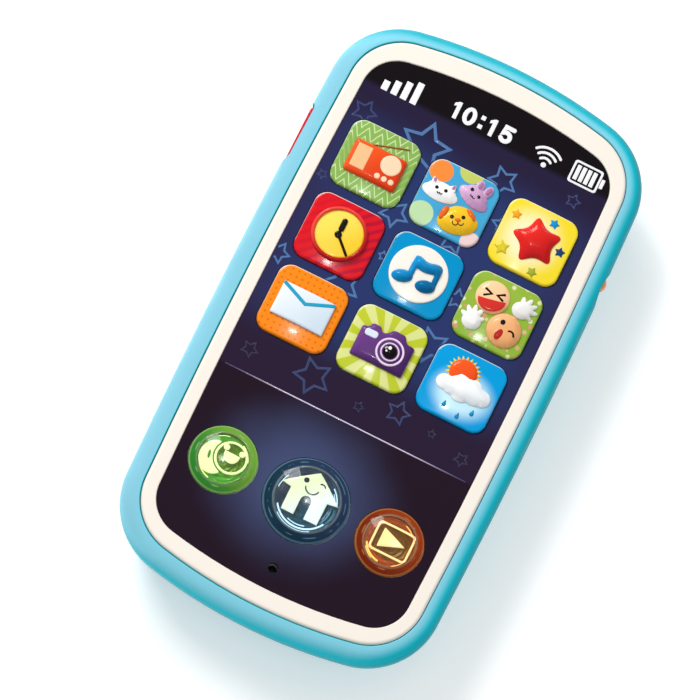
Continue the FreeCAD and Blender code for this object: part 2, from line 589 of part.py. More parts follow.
# ---- keypad and board -------------------------------------------------------------------------------
def bump(x, y, scale):
    """Hollow rubber dome with a contact pill inside, as (outer solid, hollow, pill)."""
    foot_r, neck_r, top_r = 4.8 * scale, 3.2 * scale, 2.9 * scale
    hollow_r, roof_r, pill_r = 4.2 * scale, 2.7 * scale, 1.7 * scale
    roof = BUMP_TOP - BUMP_ROOF
    outer = turned([(0, PAD_HIGH - 0.2), (foot_r, PAD_HIGH - 0.2), (neck_r, BUMP_TOP - 0.4),
                    (top_r, BUMP_TOP), (0, BUMP_TOP)], x, y)
    low = BOARD_HIGH - PAST
    hollow = turned([(0, low), (hollow_r, low), (hollow_r, PAD_HIGH - 0.3), (roof_r, roof), (0, roof)], x, y)
    pill = rod(pill_r, x, y, PAD_HIGH, roof + 0.1)
    return outer, hollow, pill


def rubber_keypad():
    sheet = rounded_rect(2 * PAD_HALF_W, BOARD_Y1 - BOARD_Y0 - 2.0, 3.0,
                         0, (BOARD_Y0 + BOARD_Y1) / 2)
    solid = slab(sheet, BOARD_HIGH, PAD_HIGH)
    bumps = [bump(x, y, 1.0) for _, x, y in key_places()]
    for _, x, _, _, foot in LIGHT_KEYS:
        bumps += [bump(x + side * foot, LIGHT_Y, 0.5) for side in (-1, 1)]
    solid = solid.multiFuse([b[0] for b in bumps])
    gone = [b[1] for b in bumps]
    gone += [rod(POST_R + 0.4, x, y, BOARD_LOW, BUMP_TOP) for x, y in BOARD_POSTS]
    gone += [rod(LED_HOLE_R, x, LIGHT_Y, BOARD_LOW, BUMP_TOP) for _, x, _, _, _ in LIGHT_KEYS]
    solid = solid.cut(gone[0].multiFuse(gone[1:]))
    return solid.multiFuse([b[2] for b in bumps])


def main_board():
    plan = rounded_rect(2 * BOARD_HALF_W, BOARD_Y1 - BOARD_Y0, 3.0, 0, (BOARD_Y0 + BOARD_Y1) / 2)
    solid = slab(plan, BOARD_LOW, BOARD_HIGH)
    holes = [rod(1.1, x, y, BOARD_LOW - 1, BOARD_HIGH + 1) for x, y in BOARD_POSTS]
    # notch that the rocker's lower pin passes
    holes.append(box(-BOARD_HALF_W - 1, ROCKER_PIVOT_X + 1.5, SIDE_Y - 1.6, SIDE_Y + 1.6,
                     BOARD_LOW - 1, BOARD_HIGH + 1))
    return solid.cut(holes[0].multiFuse(holes[1:]))


def board_screws():
    head_z, tip_z = BOARD_LOW - SMALL_HEAD_T - 0.05, DECK_LOW - 0.4
    return [screw(x, y, head_z, tip_z, SMALL_HEAD_R, SMALL_R, SMALL_HEAD_T) for x, y in BOARD_POSTS]


def controller_chip():
    """Bare chip under a drop of black resin."""
    drop = Part.makeSphere(9.0, V(21.5, 26, BOARD_LOW + 7.3))
    return drop.common(box(10, 33, 15, 38, BOARD_LOW - 3, BOARD_LOW))


def board_resistors():
    pieces = []
    low = BOARD_LOW - 0.6
    for k in range(6):
        x, y = -28.0 + 3.2 * (k % 3), -20.0 - 5.0 * (k // 3)
        pieces.append(box(x - 1.0, x + 1.0, y - 0.6, y + 0.6, low, BOARD_LOW))
    for k in range(4):
        y = 15.0 - 3.0 * k
        pieces.append(box(27.0, 28.2, y - 1.0, y + 1.0, low, BOARD_LOW))
    return pieces


def board_capacitor():
    can = turned([(0, 8.2), (2.2, 8.2), (2.5, 8.5), (2.5, 12.9), (2.3, 13.2), (2.5, 13.5),
                  (2.5, BOARD_LOW - 0.02), (0, BOARD_LOW - 0.02)], -22, 12)
    return can


def indicator_leds():
    leds = []
    for _, x, _, _, _ in LIGHT_KEYS:
        lens = rod(LED_R, x, LIGHT_Y, BOARD_HIGH, LED_Z).fuse(Part.makeSphere(LED_R, V(x, LIGHT_Y, LED_Z)))
        leds.append(lens.fuse(rod(LED_R + 0.25, x, LIGHT_Y, BOARD_HIGH, BOARD_HIGH + 0.6)).removeSplitter())
    return leds


def switch_rows():
    """Heights along the side of the rocker's two switches."""
    return (SIDE_Y - ROCKER_FOOT_Y, SIDE_Y + ROCKER_FOOT_Y)


def volume_switches():
    return [box(-SWITCH_X1, -SWITCH_X0, y - 2.2, y + 2.2, BOARD_HIGH, BOARD_HIGH + SWITCH_H)
            for y in switch_rows()]


def volume_plungers():
    tip = ROCKER_FOOT_X + ROCKER_PLAY
    return [Part.makeCylinder(0.8, -SWITCH_X1 - tip, V(tip, y, SIDE_Z), V(1, 0, 0)) for y in switch_rows()]


def power_switch():
    """Slide switch with a channel for its lever's base and a slot for its stem."""
    body = box(SWITCH_X0, SWITCH_X1 + 0.6, SCOOP_Y - 4.4, SCOOP_Y + 4.4,
               BOARD_HIGH, BOARD_HIGH + SWITCH_H + 0.1)
    half = KNOB_TRAVEL / 2 + 0.15
    channel = box(31.0, 32.4, SCOOP_Y - half - 1.3, SCOOP_Y + half + 1.3, SIDE_Z - 0.85, SIDE_Z + 0.85)
    slot = box(32.3, 34.0, SCOOP_Y - half - 0.6, SCOOP_Y + half + 0.6, SIDE_Z - 0.65, SIDE_Z + 0.65)
    return body.cut(channel.fuse(slot))


def power_switch_lever():
    base = box(31.1, 32.3, SIDE_Y - 1.3, SIDE_Y + 1.3, SIDE_Z - 0.75, SIDE_Z + 0.75)
    stem = box(32.2, 34.7, SIDE_Y - 0.6, SIDE_Y + 0.6, SIDE_Z - 0.55, SIDE_Z + 0.55)
    return base.fuse(stem).removeSplitter()


# ---- speaker ----------------------------------------------------------------------------------------
def speaker_frame():
    z = SPEAKER_Z
    return turned([(11.8, z), (SPEAKER_R, z), (SPEAKER_R, z + 0.8), (12.4, z + 0.8), (9.0, z + 3.4),
                   (9.0, z + 3.8), (3.4, z + 3.8), (3.4, z + 3.0), (8.2, z + 3.0), (11.8, z + 0.5)],
                  0, SPEAKER_Y)


def speaker_magnet():
    return rod(7.4, 0, SPEAKER_Y, SPEAKER_Z + 3.82, SPEAKER_Z + 6.6)


def speaker_cone():
    z = SPEAKER_Z
    return turned([(0, z + 1.6), (3.0, z + 1.9), (6.0, z + 1.1), (11.7, z + 0.05), (11.7, z + 0.3),
                   (6.0, z + 1.4), (3.0, z + 2.2), (0, z + 1.9)], 0, SPEAKER_Y)


def speaker_retainer():
    low, high = RETAINER_LOW, RETAINER_HIGH
    ring = rod(SPEAKER_R + 1.4, 0, SPEAKER_Y, low, high).fuse(
        box(-SPEAKER_SCREW_X, SPEAKER_SCREW_X, SPEAKER_Y - 2.6, SPEAKER_Y + 2.6, low, high))
    for side in (-1, 1):
        ring = ring.fuse(rod(2.6, side * SPEAKER_SCREW_X, SPEAKER_Y, low, high))
    ring = ring.cut(rod(11.8, 0, SPEAKER_Y, low - 1, high + 1))
    # lip that presses on the speaker's flange
    lip = rod(SPEAKER_R - 0.1, 0, SPEAKER_Y, SPEAKER_Z + 0.85, low + 0.1).cut(
        rod(SPEAKER_R - 1.3, 0, SPEAKER_Y, 0, 10))
    ring = ring.fuse(lip)
    for side in (-1, 1):
        ring = ring.cut(rod(1.15, side * SPEAKER_SCREW_X, SPEAKER_Y, 0, 10))
    return ring.removeSplitter()


def speaker_screws():
    screws = []
    for side in (-1, 1):
        part = screw(0, 0, 0, 4.6, SMALL_HEAD_R, SEAT_PILOT_R - 0.05, SMALL_HEAD_T)
        part.rotate(V(0, 0, 0), V(1, 0, 0), 180)
        part.translate(V(side * SPEAKER_SCREW_X, SPEAKER_Y, RETAINER_HIGH + 0.02 + SMALL_HEAD_T))
        screws.append(part)
    return screws


def speaker_wires():
    wires = []
    for side in (-1, 1):
        x = side * 3.0
        wires.append(tube([(x, SPEAKER_Y + 7.9, SPEAKER_Z + 4.1), (x, SPEAKER_Y + 9.4, 9.4),
                           (x * 1.1, SPEAKER_Y + 8.6, 11.6), (x * 1.2, SPEAKER_Y + 8.2, BOARD_LOW - 0.05)],
                          0.4))
    return wires


# ---- batteries --------------------------------------------------------------------------------------
def cell_places():
    """(x, direction of the positive end) of the two cells, which lie head to tail."""
    return ((-CELL_X, 1), (CELL_X, -1))


def battery_cells():
    cells = []
    for x, way in cell_places():
        wall = BAY_Y1 if way > 0 else BAY_Y0
        tip = wall - way * CELL_GAP
        cell = turned([(0, 0), (CELL_R - 0.4, 0), (CELL_R, 0.4), (CELL_R, CELL_L - 1.2),
                       (CELL_R - 0.4, CELL_L - 0.8), (1.9, CELL_L - 0.8), (1.9, CELL_L), (0, CELL_L)])
        cell.rotate(V(0, 0, 0), V(1, 0, 0), -90 * way)
        cell.translate(V(x, tip - way * CELL_L, CELL_Z))
        cells.append(cell)
    return cells


def contact_plate(x, wall, way, width):
    """Thin spring-steel plate against an end wall of the bay; way points into the bay."""
    y0, y1 = sorted((wall, wall + way * PLATE_T))
    return box(x - width / 2, x + width / 2, y0, y1, CELL_Z - PLATE_HALF_H, CELL_Z + PLATE_HALF_H)


def battery_terminals():
    plates = []
    for side in (-1, 1):
        plate = contact_plate(side * CELL_X, BAY_Y1, -1, PLATE_W)
        x = side * TAIL_X
        tail = box(x - TAIL_W / 2, x + TAIL_W / 2, BAY_Y1 - 0.3, BAY_Y1 + 3.4, TAIL_LOW, TAIL_HIGH)
        plates.append(plate.fuse(tail).removeSplitter())
    return plates


def battery_link():
    return contact_plate(0, BAY_Y0, 1, 2 * CELL_X + PLATE_W)


def battery_springs():
    """Conical coil behind the flat end of each cell."""
    coils = []
    for x, way in cell_places():
        wall = BAY_Y0 + PLATE_T if way > 0 else BAY_Y1 - PLATE_T
        tip = (BAY_Y1 if way > 0 else BAY_Y0) - way * CELL_GAP
        length = abs(tip - way * CELL_L - wall) - 1.0
        points = []
        for step in range(SPRING_TURNS * 12 + 1):
            turn = 2 * math.pi * step / 12
            share = step / (SPRING_TURNS * 12)
            r = SPRING_R0 + (SPRING_R1 - SPRING_R0) * share
            y = wall + way * (SPRING_WIRE_R + 0.1 + length * share)
            points.append((x + r * math.cos(turn), y, CELL_Z + r * math.sin(turn)))
        coils.append(tube(points, SPRING_WIRE_R))
    return coils


def battery_wires():
    wires = []
    for x in (-TAIL_X, TAIL_X):
        y = BAY_Y1 + 3.0
        wires.append(tube([(x, y, 10.8), (x * 1.05, y + 1.4, 12.0), (x * 1.1, y + 1.2, 13.2),
                           (x * 1.1, y + 1.0, BOARD_LOW - 0.15)], 0.55))
    return wires


# ---- all nodes --------------------------------------------------------------------------------------
def all_nodes():
    nodes = {
        "rear_housing": rear_housing(),
        "front_bezel": front_bezel(),
        "screen_panel": screen_panel(),
        "case_screws": case_screws(),
        "battery_door": battery_door(),
        "battery_door_screw": battery_door_screw(),
        "volume_rocker": volume_rocker(),
        "power_knob": power_knob(),
        "power_switch": power_switch(),
        "power_switch_lever": power_switch_lever(),
        "rubber_keypad": rubber_keypad(),
        "main_board": main_board(),
        "board_screws": board_screws(),
        "controller_chip": controller_chip(),
        "board_resistors": board_resistors(),
        "board_capacitor": board_capacitor(),
        "indicator_leds": indicator_leds(),
        "volume_switches": volume_switches(),
        "volume_plungers": volume_plungers(),
        "speaker_frame": speaker_frame(),
        "speaker_magnet": speaker_magnet(),
        "speaker_cone": speaker_cone(),
        "speaker_retainer": speaker_retainer(),
        "speaker_screws": speaker_screws(),
        "speaker_wires": speaker_wires(),
        "battery_cells": battery_cells(),
        "battery_terminals": battery_terminals(),
        "battery_link": battery_link(),
        "battery_springs": battery_springs(),
        "battery_wires": battery_wires(),
    }
    for name, x, y in key_places():
        nodes[name] = picture_key(x, y)
    for name, x, r, height, foot in LIGHT_KEYS:
        nodes[name] = light_key(x, r, height, foot)
    return nodes


os.makedirs("parts", exist_ok=True)
for node, made in all_nodes().items():
    shape = Part.makeCompound(made) if isinstance(made, list) else made
    shape.exportStep("parts/" + node + ".step")
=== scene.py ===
import json
import math

import bpy
import numpy as np
from mathutils import Matrix, Vector
from mathutils.bvhtree import BVHTree
from mathutils.geometry import delaunay_2d_cdt


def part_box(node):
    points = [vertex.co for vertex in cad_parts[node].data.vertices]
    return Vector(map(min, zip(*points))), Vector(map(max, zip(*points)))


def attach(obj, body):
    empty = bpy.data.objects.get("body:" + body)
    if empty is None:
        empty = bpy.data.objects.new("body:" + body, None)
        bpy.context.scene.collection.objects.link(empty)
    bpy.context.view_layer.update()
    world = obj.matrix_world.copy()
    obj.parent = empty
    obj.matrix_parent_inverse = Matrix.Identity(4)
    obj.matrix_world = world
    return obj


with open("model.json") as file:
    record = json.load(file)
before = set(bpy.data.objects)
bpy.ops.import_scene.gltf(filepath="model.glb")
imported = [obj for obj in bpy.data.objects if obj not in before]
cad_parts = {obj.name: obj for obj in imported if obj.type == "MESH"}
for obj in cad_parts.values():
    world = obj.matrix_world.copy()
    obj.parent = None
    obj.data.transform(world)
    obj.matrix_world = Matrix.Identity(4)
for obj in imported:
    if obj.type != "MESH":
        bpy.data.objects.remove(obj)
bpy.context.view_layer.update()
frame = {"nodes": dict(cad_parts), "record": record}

# Looks of a toy cell phone. The CAD frame gives every moulded piece; this script gives them their
# finishes and adds the raised pictures on the keys, the print on the panel and the reflectors and
# pictures inside the lit domes. Lengths are millimetres unless a name says otherwise; the frame is
# in metres. +X is right, +Y is towards the status bar and +Z comes out of the front.

MM = 0.001
SINK = 0.06                 # how far a raised piece reaches into what it sits on
FLANGE = 0.8                # a key's hidden flange, outside its visible edge
KEY_GAP = 0.2               # between a key and its opening, each side
KEY_CORNER = 3.4            # corner radius of a key's opening
PRINT_HALF_W = 31.6         # the panel's print stops short of its sides
WELL_SHARE = 0.76           # radius of the hollow under a dome, as a share of the dome's
REFLECTOR_GAP = 0.6         # between the hollow's wall and the reflector in it
BAND_Y = 53.0               # lower edge of the status bar, from the panel's middle like the next two
RULE_Y = -21.7              # line between the pictures and the round keys
STATUS_Y = 57.2             # middle of the marks on the status bar
STAR_INK_H = 0.04           # thickness of the printed stars
RIM_ROWS = (0.12, 0.4, 0.8)  # where a rounded rim gets rows of points, as shares of its width
RAY_START = 0.01            # metres outside a node, from where its surface is looked for
TINY = 1e-9                 # keeps a division by a length safe
ACRYLIC_IOR = 1.47
COAT_ROUGHNESS = 0.06

GLOSS = {"roughness": 0.16, "coat": 0.3, "specular": 0.4}
INK = {"roughness": 0.3, "coat": 0.4, "grain": 0.002}
SLOTS = {part["node"]: part["material_slot"] for part in frame["record"]["subparts"]}


# ---- colours and materials ----
def rgb(code):
    """A hex colour as linear red, green, blue and alpha."""
    parts = [int(code[i:i + 2], 16) / 255 for i in (0, 2, 4)]
    return [p / 12.92 if p <= 0.04045 else ((p + 0.055) / 1.055) ** 2.4 for p in parts] + [1.0]


def put(slot, value):
    """Sets a node's slot to a number, a vector or a hex colour, or links it to another node's output."""
    if isinstance(value, str):
        value = rgb(value)[:len(slot.default_value)]
    if isinstance(value, Value):
        value = value.socket
    if isinstance(value, bpy.types.NodeSocket):
        slot.id_data.links.new(value, slot)
    else:
        slot.default_value = value


class Value:
    """A number that a material works out at every point. Arithmetic on it makes math nodes."""

    def __init__(self, socket):
        self.socket = socket
        self.nodes = socket.id_data.nodes

    def math(self, operation, *others):
        node = self.nodes.new("ShaderNodeMath")
        node.operation = operation
        for slot, value in zip(node.inputs, (self, *others)):
            put(slot, value)
        return Value(node.outputs[0])

    def __add__(self, other):
        return self.math("ADD", other)

    def __sub__(self, other):
        return self.math("SUBTRACT", other)

    def __mul__(self, other):
        return self.math("MULTIPLY", other)

    def __truediv__(self, other):
        return self.math("DIVIDE", other)

    def wave(self):
        """Triangle wave from 0 to 1 with a period of 1."""
        return (self.math("FRACT") - 0.5).math("ABSOLUTE") * 2

    def ramp(self, low, high):
        """0 up to low, 1 from high, and smooth between; low may be the larger."""
        node = self.nodes.new("ShaderNodeMapRange")
        node.interpolation_type = "SMOOTHSTEP"
        bounds = (low, high, 0.0, 1.0) if low < high else (high, low, 1.0, 0.0)
        put(node.inputs["Value"], self)
        for slot, value in zip(("From Min", "From Max", "To Min", "To Max"), bounds):
            put(node.inputs[slot], value)
        return Value(node.outputs["Result"])


class Paint:
    """A material being made. x, y and z are millimetres from the centre it is given."""

    def __init__(self, name, centre=(0.0, 0.0, 0.0)):
        self.material = bpy.data.materials.new(name)
        self.material.use_nodes = True
        self.tree = self.material.node_tree
        self.shader = self.tree.nodes["Principled BSDF"]
        place = self.node("ShaderNodeVectorMath", operation="MULTIPLY_ADD")
        put(place.inputs[0], self.node("ShaderNodeTexCoord").outputs["Object"])
        put(place.inputs[1], (1 / MM,) * 3)
        put(place.inputs[2], [-c for c in centre])
        self.place = place.outputs[0]
        self.x, self.y, self.z = self.parts(self.place)

    def node(self, kind, **settings):
        node = self.tree.nodes.new(kind)
        for key, value in settings.items():
            setattr(node, key, value)
        return node

    def parts(self, vector):
        """A vector's x, y and z."""
        split = self.node("ShaderNodeSeparateXYZ")
        put(split.inputs[0], vector)
        return [Value(out) for out in split.outputs]

    def normal(self):
        """The way the surface faces."""
        return self.parts(self.node("ShaderNodeNewGeometry").outputs["Normal"])

    def noise(self, size, detail=2.0):
        """Smooth random number around 0.5, with features about `size` across."""
        node = self.node("ShaderNodeTexNoise")
        put(node.inputs["Vector"], self.place)
        put(node.inputs["Scale"], 1 / size)
        put(node.inputs["Detail"], detail)
        return Value(node.outputs["Fac"])

    def spots(self, size):
        """Distance to the nearest of many scattered points, and that point's random colour."""
        node = self.node("ShaderNodeTexVoronoi")
        put(node.inputs["Vector"], self.place)
        put(node.inputs["Scale"], 1 / size)
        return Value(node.outputs["Distance"]), Value(node.outputs["Color"])

    def mix(self, share, first, second):
        """Colour between two others; each is a hex code or the result of another mix. The node's colour
        slots are inputs 6 and 7 and output 2."""
        node = self.node("ShaderNodeMix", data_type="RGBA")
        put(node.inputs[0], share)
        for slot, colour in ((node.inputs[6], first), (node.inputs[7], second)):
            put(slot, colour)
        return Value(node.outputs[2])

    def radius(self, x=0.0, y=0.0, stretch=1.0):
        """Distance from a point; above 1, stretch makes the rings wider than they are tall."""
        across = (self.x - x) * (1 / stretch)
        up = self.y - y
        return (across * across + up * up).math("SQRT")

    def painted_rim_highlight(self, colour):
        """The colour, with a painted highlight: a pale line where a key's rounded rim faces up and a
        little left, towards the lights.
        """
        x, y, _ = self.normal()
        slope = y * 0.87 - x * 0.5
        line = slope.ramp(0.35, 0.5) * slope.ramp(0.9, 0.75)
        return self.mix(line * 0.7, colour, "F6F8F0")

    def finish(self, colour, roughness=0.3, coat=0.0, mottle=0.03, grain=0.004, grain_size=0.5,
               metal=0.0, glow=0.0, specular=0.5, uneven=0.1):
        """Sets the surface: colour with slight mottling, uneven gloss and a fine moulded grain."""
        shade = self.noise(9.0) * (2 * mottle) + (1 - mottle)
        tint = self.node("ShaderNodeVectorMath", operation="SCALE")
        put(tint.inputs[0], colour)
        put(tint.inputs["Scale"], shade)
        bump = self.node("ShaderNodeBump")
        put(bump.inputs["Distance"], grain * MM)
        put(bump.inputs["Height"], self.noise(grain_size, 3.0))
        put(self.shader.inputs["Normal"], bump.outputs[0])
        put(self.shader.inputs["Base Color"], tint.outputs[0])
        put(self.shader.inputs["Roughness"], self.noise(3.0) * uneven + (roughness - uneven / 2))
        for name, value in (("Coat Weight", coat), ("Coat Roughness", COAT_ROUGHNESS), ("Metallic", metal),
                            ("Specular IOR Level", specular), ("Emission Strength", glow)):
            put(self.shader.inputs[name], value)
        if glow:
            put(self.shader.inputs["Emission Color"], tint.outputs[0])
        return self.material


def plain(name, colour, **settings):
    """One colour; glossy plastic unless the settings say what it is."""
    return Paint(name).finish(colour, **(settings or GLOSS))


# ---- outlines ----
def heading(degrees):
    """One step in a direction, as x and y."""
    angle = math.radians(degrees)
    return math.cos(angle), math.sin(angle)


def ellipse(x, y, a, b, turn=0.0, n=48):
    """Closed oval; turn is in degrees."""
    c, s = heading(turn)
    loop = []
    for i in range(n):
        u, v = heading(360 * i / n)
        loop.append((x + a * u * c - b * v * s, y + a * u * s + b * v * c))
    return loop


def circle(x, y, r, n=48):
    """Closed circle."""
    return ellipse(x, y, r, r, n=n)


def rounded(points, radius, n=6):
    """Polygon with its corners eased; radius is how far along each side the curve starts, at most just
    under half of it."""
    loop = []
    for i, here in enumerate(points):
        corner = Vector(here)
        ends = []
        for other in (points[i - 1], points[(i + 1) % len(points)]):
            along = Vector(other) - corner
            ends.append(corner + along * min(radius / along.length, 0.49))
        for k in range(n + 1):
            t = k / n
            p = ends[0] * (1 - t) ** 2 + corner * (2 * t * (1 - t)) + ends[1] * t * t
            loop.append((p.x, p.y))
    return loop


def rectangle(x0, x1, y0, y1, radius):
    """Rectangle with eased corners."""
    return rounded([(x0, y0), (x1, y0), (x1, y1), (x0, y1)], radius)


def star(x, y, r, inner=0.5, turn=90.0, radius=0.2):
    """Five-pointed star; turn is the direction of its first point in degrees."""
    points = []
    for i in range(10):
        c, s = heading(turn + 36 * i)
        reach = r if i % 2 == 0 else r * inner
        points.append((x + reach * c, y + reach * s))
    return rounded(points, radius)


def stroke(points, width, caps=8):
    """Outline of a thick line through the points, with round ends."""
    p = [Vector(q) for q in points]
    half = width / 2
    sides = ([], [])
    for i, here in enumerate(p):
        before = (here - p[i - 1]).normalized() if i else (p[1] - here).normalized()
        after = (p[i + 1] - here).normalized() if i < len(p) - 1 else before
        along = (before + after).normalized()
        normal = Vector((-along.y, along.x)) * (half / max(along.dot(after), 0.5))
        sides[0].append(here + normal)
        sides[1].append(here - normal)
    loop = sides[1]
    for end, start, rim in ((p[-1], sides[1][-1], sides[0]), (p[0], sides[0][0], [])):
        first = start - end
        for k in range(1, caps):
            c, s = heading(180 * k / caps)
            loop.append(end + Vector((first.x * c - first.y * s, first.x * s + first.y * c)))
        loop.extend(reversed(rim))
    return [(q.x, q.y) for q in loop]


def arc(x, y, r, start, end, n=14):
    """Points along an arc, angles in degrees."""
    steps = [heading(start + (end - start) * i / n) for i in range(n + 1)]
    return [(x + r * c, y + r * s) for c, s in steps]


def union(ovals, x, y, n=120):
    """Outline round several ovals (x, y, a, b, turn) as seen from an inner point."""
    loop = []
    for i in range(n):
        dx, dy = heading(360 * i / n)
        best = 0.0
        for ox, oy, a, b, turn in ovals:
            c, s = heading(turn)
            px, py = x - ox, y - oy
            u0, v0 = (px * c + py * s) / a, (-px * s + py * c) / b
            u1, v1 = (dx * c + dy * s) / a, (-dx * s + dy * c) / b
            # The line leaves the oval where qa t^2 + 2 qb t + qc is zero.
            qa, qb, qc = u1 * u1 + v1 * v1, u0 * u1 + v0 * v1, u0 * u0 + v0 * v0 - 1
            root = qb * qb - qa * qc
            if root >= 0:
                best = max(best, (-qb + math.sqrt(root)) / qa)
        loop.append((x + best * dx, y + best * dy))
    return loop


def crescent(loop, centre, r):
    """The part of a loop that is outside a circle, closed along that circle."""
    keep = [math.dist(p, centre) > r for p in loop]
    start = next(i for i in range(len(loop)) if keep[i] and not keep[i - 1])
    outer = []
    for k in range(len(loop)):
        i = (start + k) % len(loop)
        if not keep[i]:
            break
        outer.append(loop[i])
    first, last = (math.degrees(math.atan2(p[1] - centre[1], p[0] - centre[0]))
                   for p in (outer[-1], outer[0]))
    sweep = (last - first) % 360
    if sweep > 180:
        sweep -= 360
    return outer + arc(*centre, r, first, first + sweep, 20)[1:-1]


# ---- raised pieces ----
def tree_of(node):
    """A CAD node's surface, ready for finding where a line meets it."""
    mesh = frame["nodes"][node].data
    return BVHTree.FromPolygons([v.co for v in mesh.vertices], [p.vertices[:] for p in mesh.polygons])


def surface_of(node):
    """Function giving the height of a CAD node's front surface over a point."""
    tree = tree_of(node)
    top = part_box(node)[1].z
    down = Vector((0, 0, -1))

    def height(x, y):
        hit = tree.ray_cast(Vector((x * MM, y * MM, top + RAY_START)), down)[0]
        return (hit.z if hit else top) / MM
    return height


def fine(loop, spacing):
    """The loop with extra points, so that none are further apart than the spacing."""
    points = []
    for i, here in enumerate(loop):
        after = loop[(i + 1) % len(loop)]
        parts = max(1, math.ceil(math.dist(here, after) / spacing))
        for k in range(parts):
            t = k / parts
            points.append((here[0] + (after[0] - here[0]) * t, here[1] + (after[1] - here[1]) * t))
    return np.array(points)


def inside(points, loops):
    """Which points the loops enclose; a loop within another is a hole."""
    count = np.zeros(len(points), int)
    x, y = points[:, :1], points[:, 1:]
    for loop in loops:
        a, b = loop, np.roll(loop, -1, axis=0)
        crosses = (a[:, 1] > y) != (b[:, 1] > y)
        rise = np.where(b[:, 1] == a[:, 1], 1.0, b[:, 1] - a[:, 1])
        at = a[:, 0] + (y - a[:, 1]) / rise * (b[:, 0] - a[:, 0])
        count += (crosses & (x < at)).sum(1)
    return count % 2 == 1


def edge_distance(points, loops):
    """Distance of each point from the nearest outline."""
    a = np.concatenate(loops)
    along = np.concatenate([np.roll(loop, -1, axis=0) for loop in loops]) - a
    gap = points[:, None, :] - a
    t = np.clip((gap * along).sum(2) / np.maximum((along ** 2).sum(1), TINY), 0, 1)
    return np.sqrt(((gap - t[:, :, None] * along) ** 2).sum(2).min(1))


def filled(loops, edge, spacing):
    """Triangles that fill the loops, with rows of points near the rim so that it can be rounded."""
    rim = np.concatenate(loops)
    inner = []
    for inset in [edge * share for share in RIM_ROWS]:
        if inset > spacing:
            break
        for loop in loops:
            along = np.roll(loop, -1, axis=0) - np.roll(loop, 1, axis=0)
            length = np.maximum(np.hypot(along[:, 0], along[:, 1]), TINY)
            normal = np.stack([-along[:, 1] / length, along[:, 0] / length], 1)
            for way in (1, -1):
                row = loop + normal * (way * inset)
                inner.append(row[inside(row, loops) & (edge_distance(row, loops) > 0.85 * inset)])
    reach = min(RIM_ROWS[-1] * edge, spacing)
    low, high = rim.min(0), rim.max(0)
    grid = np.stack(np.meshgrid(*(np.arange(low[i], high[i], spacing) for i in (0, 1))), -1).reshape(-1, 2)
    grid = grid[inside(grid, loops)]
    if len(grid):
        inner.append(grid[edge_distance(grid, loops) > reach + 0.45 * spacing])
    points = np.concatenate([rim] + inner)
    links, first = [], 0
    for loop in loops:
        links += [(first + i, first + (i + 1) % len(loop)) for i in range(len(loop))]
        first += len(loop)
    made = delaunay_2d_cdt([Vector(p) for p in points], links, [], 0, 1e-6)
    points = np.array([p[:] for p in made[0]])
    triangles = np.array([f[:] for f in made[2]])
    return points, triangles[inside(points[triangles].mean(1), loops)]


def rim_edges(triangles):
    """Directed edges that only one triangle uses."""
    seen = set()
    for a, b, c in triangles.tolist():
        seen.update(((a, b), (b, c), (c, a)))
    return [(a, b) for a, b in seen if (b, a) not in seen]


def relief(name, shapes, base, height, edge, body, material, slot, wall=0.0, spacing=0.4, soften=0,
           keep=None):
    """Closed raised piece. Each shape is a list of loops, the first being its outline. The top stands
    `height` above the base and rounds over within `edge` of its rim, down to `wall`. `soften` times,
    every point that isn't on the rim takes its neighbours' mean height. `keep` tells which points of
    the plan stay."""
    vertices, faces, smooth = [], [], []
    for shape in shapes:
        loops = [fine(loop, spacing) for loop in shape]
        points, triangles = filled(loops, edge, spacing)
        if keep:
            triangles = triangles[keep(points[triangles].mean(1))]
        share = np.clip(edge_distance(points, loops) / edge, 0, 1)
        rise = (height - wall) * np.sqrt(np.maximum(0, 1 - (1 - share) ** 2))
        rim = rim_edges(triangles)
        fixed = np.unique(rim)
        sides = np.concatenate([triangles[:, [i, j]] for i in range(3) for j in range(3) if i != j])
        for _ in range(soften):
            total, count = np.zeros(len(points)), np.zeros(len(points))
            np.add.at(total, sides[:, 0], rise[sides[:, 1]])
            np.add.at(count, sides[:, 0], 1)
            mean = total / np.maximum(count, 1)
            mean[fixed] = 0
            rise = mean
        ground = np.array([base(x, y) for x, y in points])
        first = len(vertices)
        n = len(points)
        vertices += [(*p, z) for p, z in zip(points, ground + wall + rise)]
        vertices += [(*p, z) for p, z in zip(points, ground - SINK)]
        faces += (triangles + first).tolist()
        faces += (triangles[:, ::-1] + first + n).tolist()
        faces += [(first + b, first + a, first + n + a, first + n + b) for a, b in rim]
        smooth += [True] * len(triangles) + [False] * len(triangles) + [True] * len(rim)
    add_piece(name, vertices, faces, smooth, body, material)


def new_object(name, data):
    """An object that is in the scene."""
    thing = bpy.data.objects.new(name, data)
    bpy.context.scene.collection.objects.link(thing)
    return thing


def add_piece(name, vertices, faces, smooth, body, material):
    """Makes the object that rides on a body. Vertices that no face uses are left out."""
    mesh = bpy.data.meshes.new(name)
    used = sorted({i for face in faces for i in face})
    place = {old: new for new, old in enumerate(used)}
    mesh.from_pydata([[c * MM for c in vertices[i]] for i in used], [],
                     [[place[i] for i in face] for face in faces])
    mesh.polygons.foreach_set("use_smooth", smooth)
    mesh.materials.append(material)
    piece = new_object(name, mesh)
    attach(piece, body)


def turned(name, profile, x, y, body, material, n=96):
    """Closed ring or dish: a closed profile of (radius, height) points, turned about x, y."""
    vertices, faces = [], []
    for i in range(n):
        c, s = heading(360 * i / n)
        vertices += [(x + r * c, y + r * s, z) for r, z in profile]
    m = len(profile)
    for i in range(n):
        for k in range(m):
            a, b = i * m + k, i * m + (k + 1) % m
            c, d = (i + 1) % n * m + (k + 1) % m, (i + 1) % n * m + k
            faces.append((a, d, c, b))
    add_piece(name, vertices, faces, [True] * len(faces), body, material)


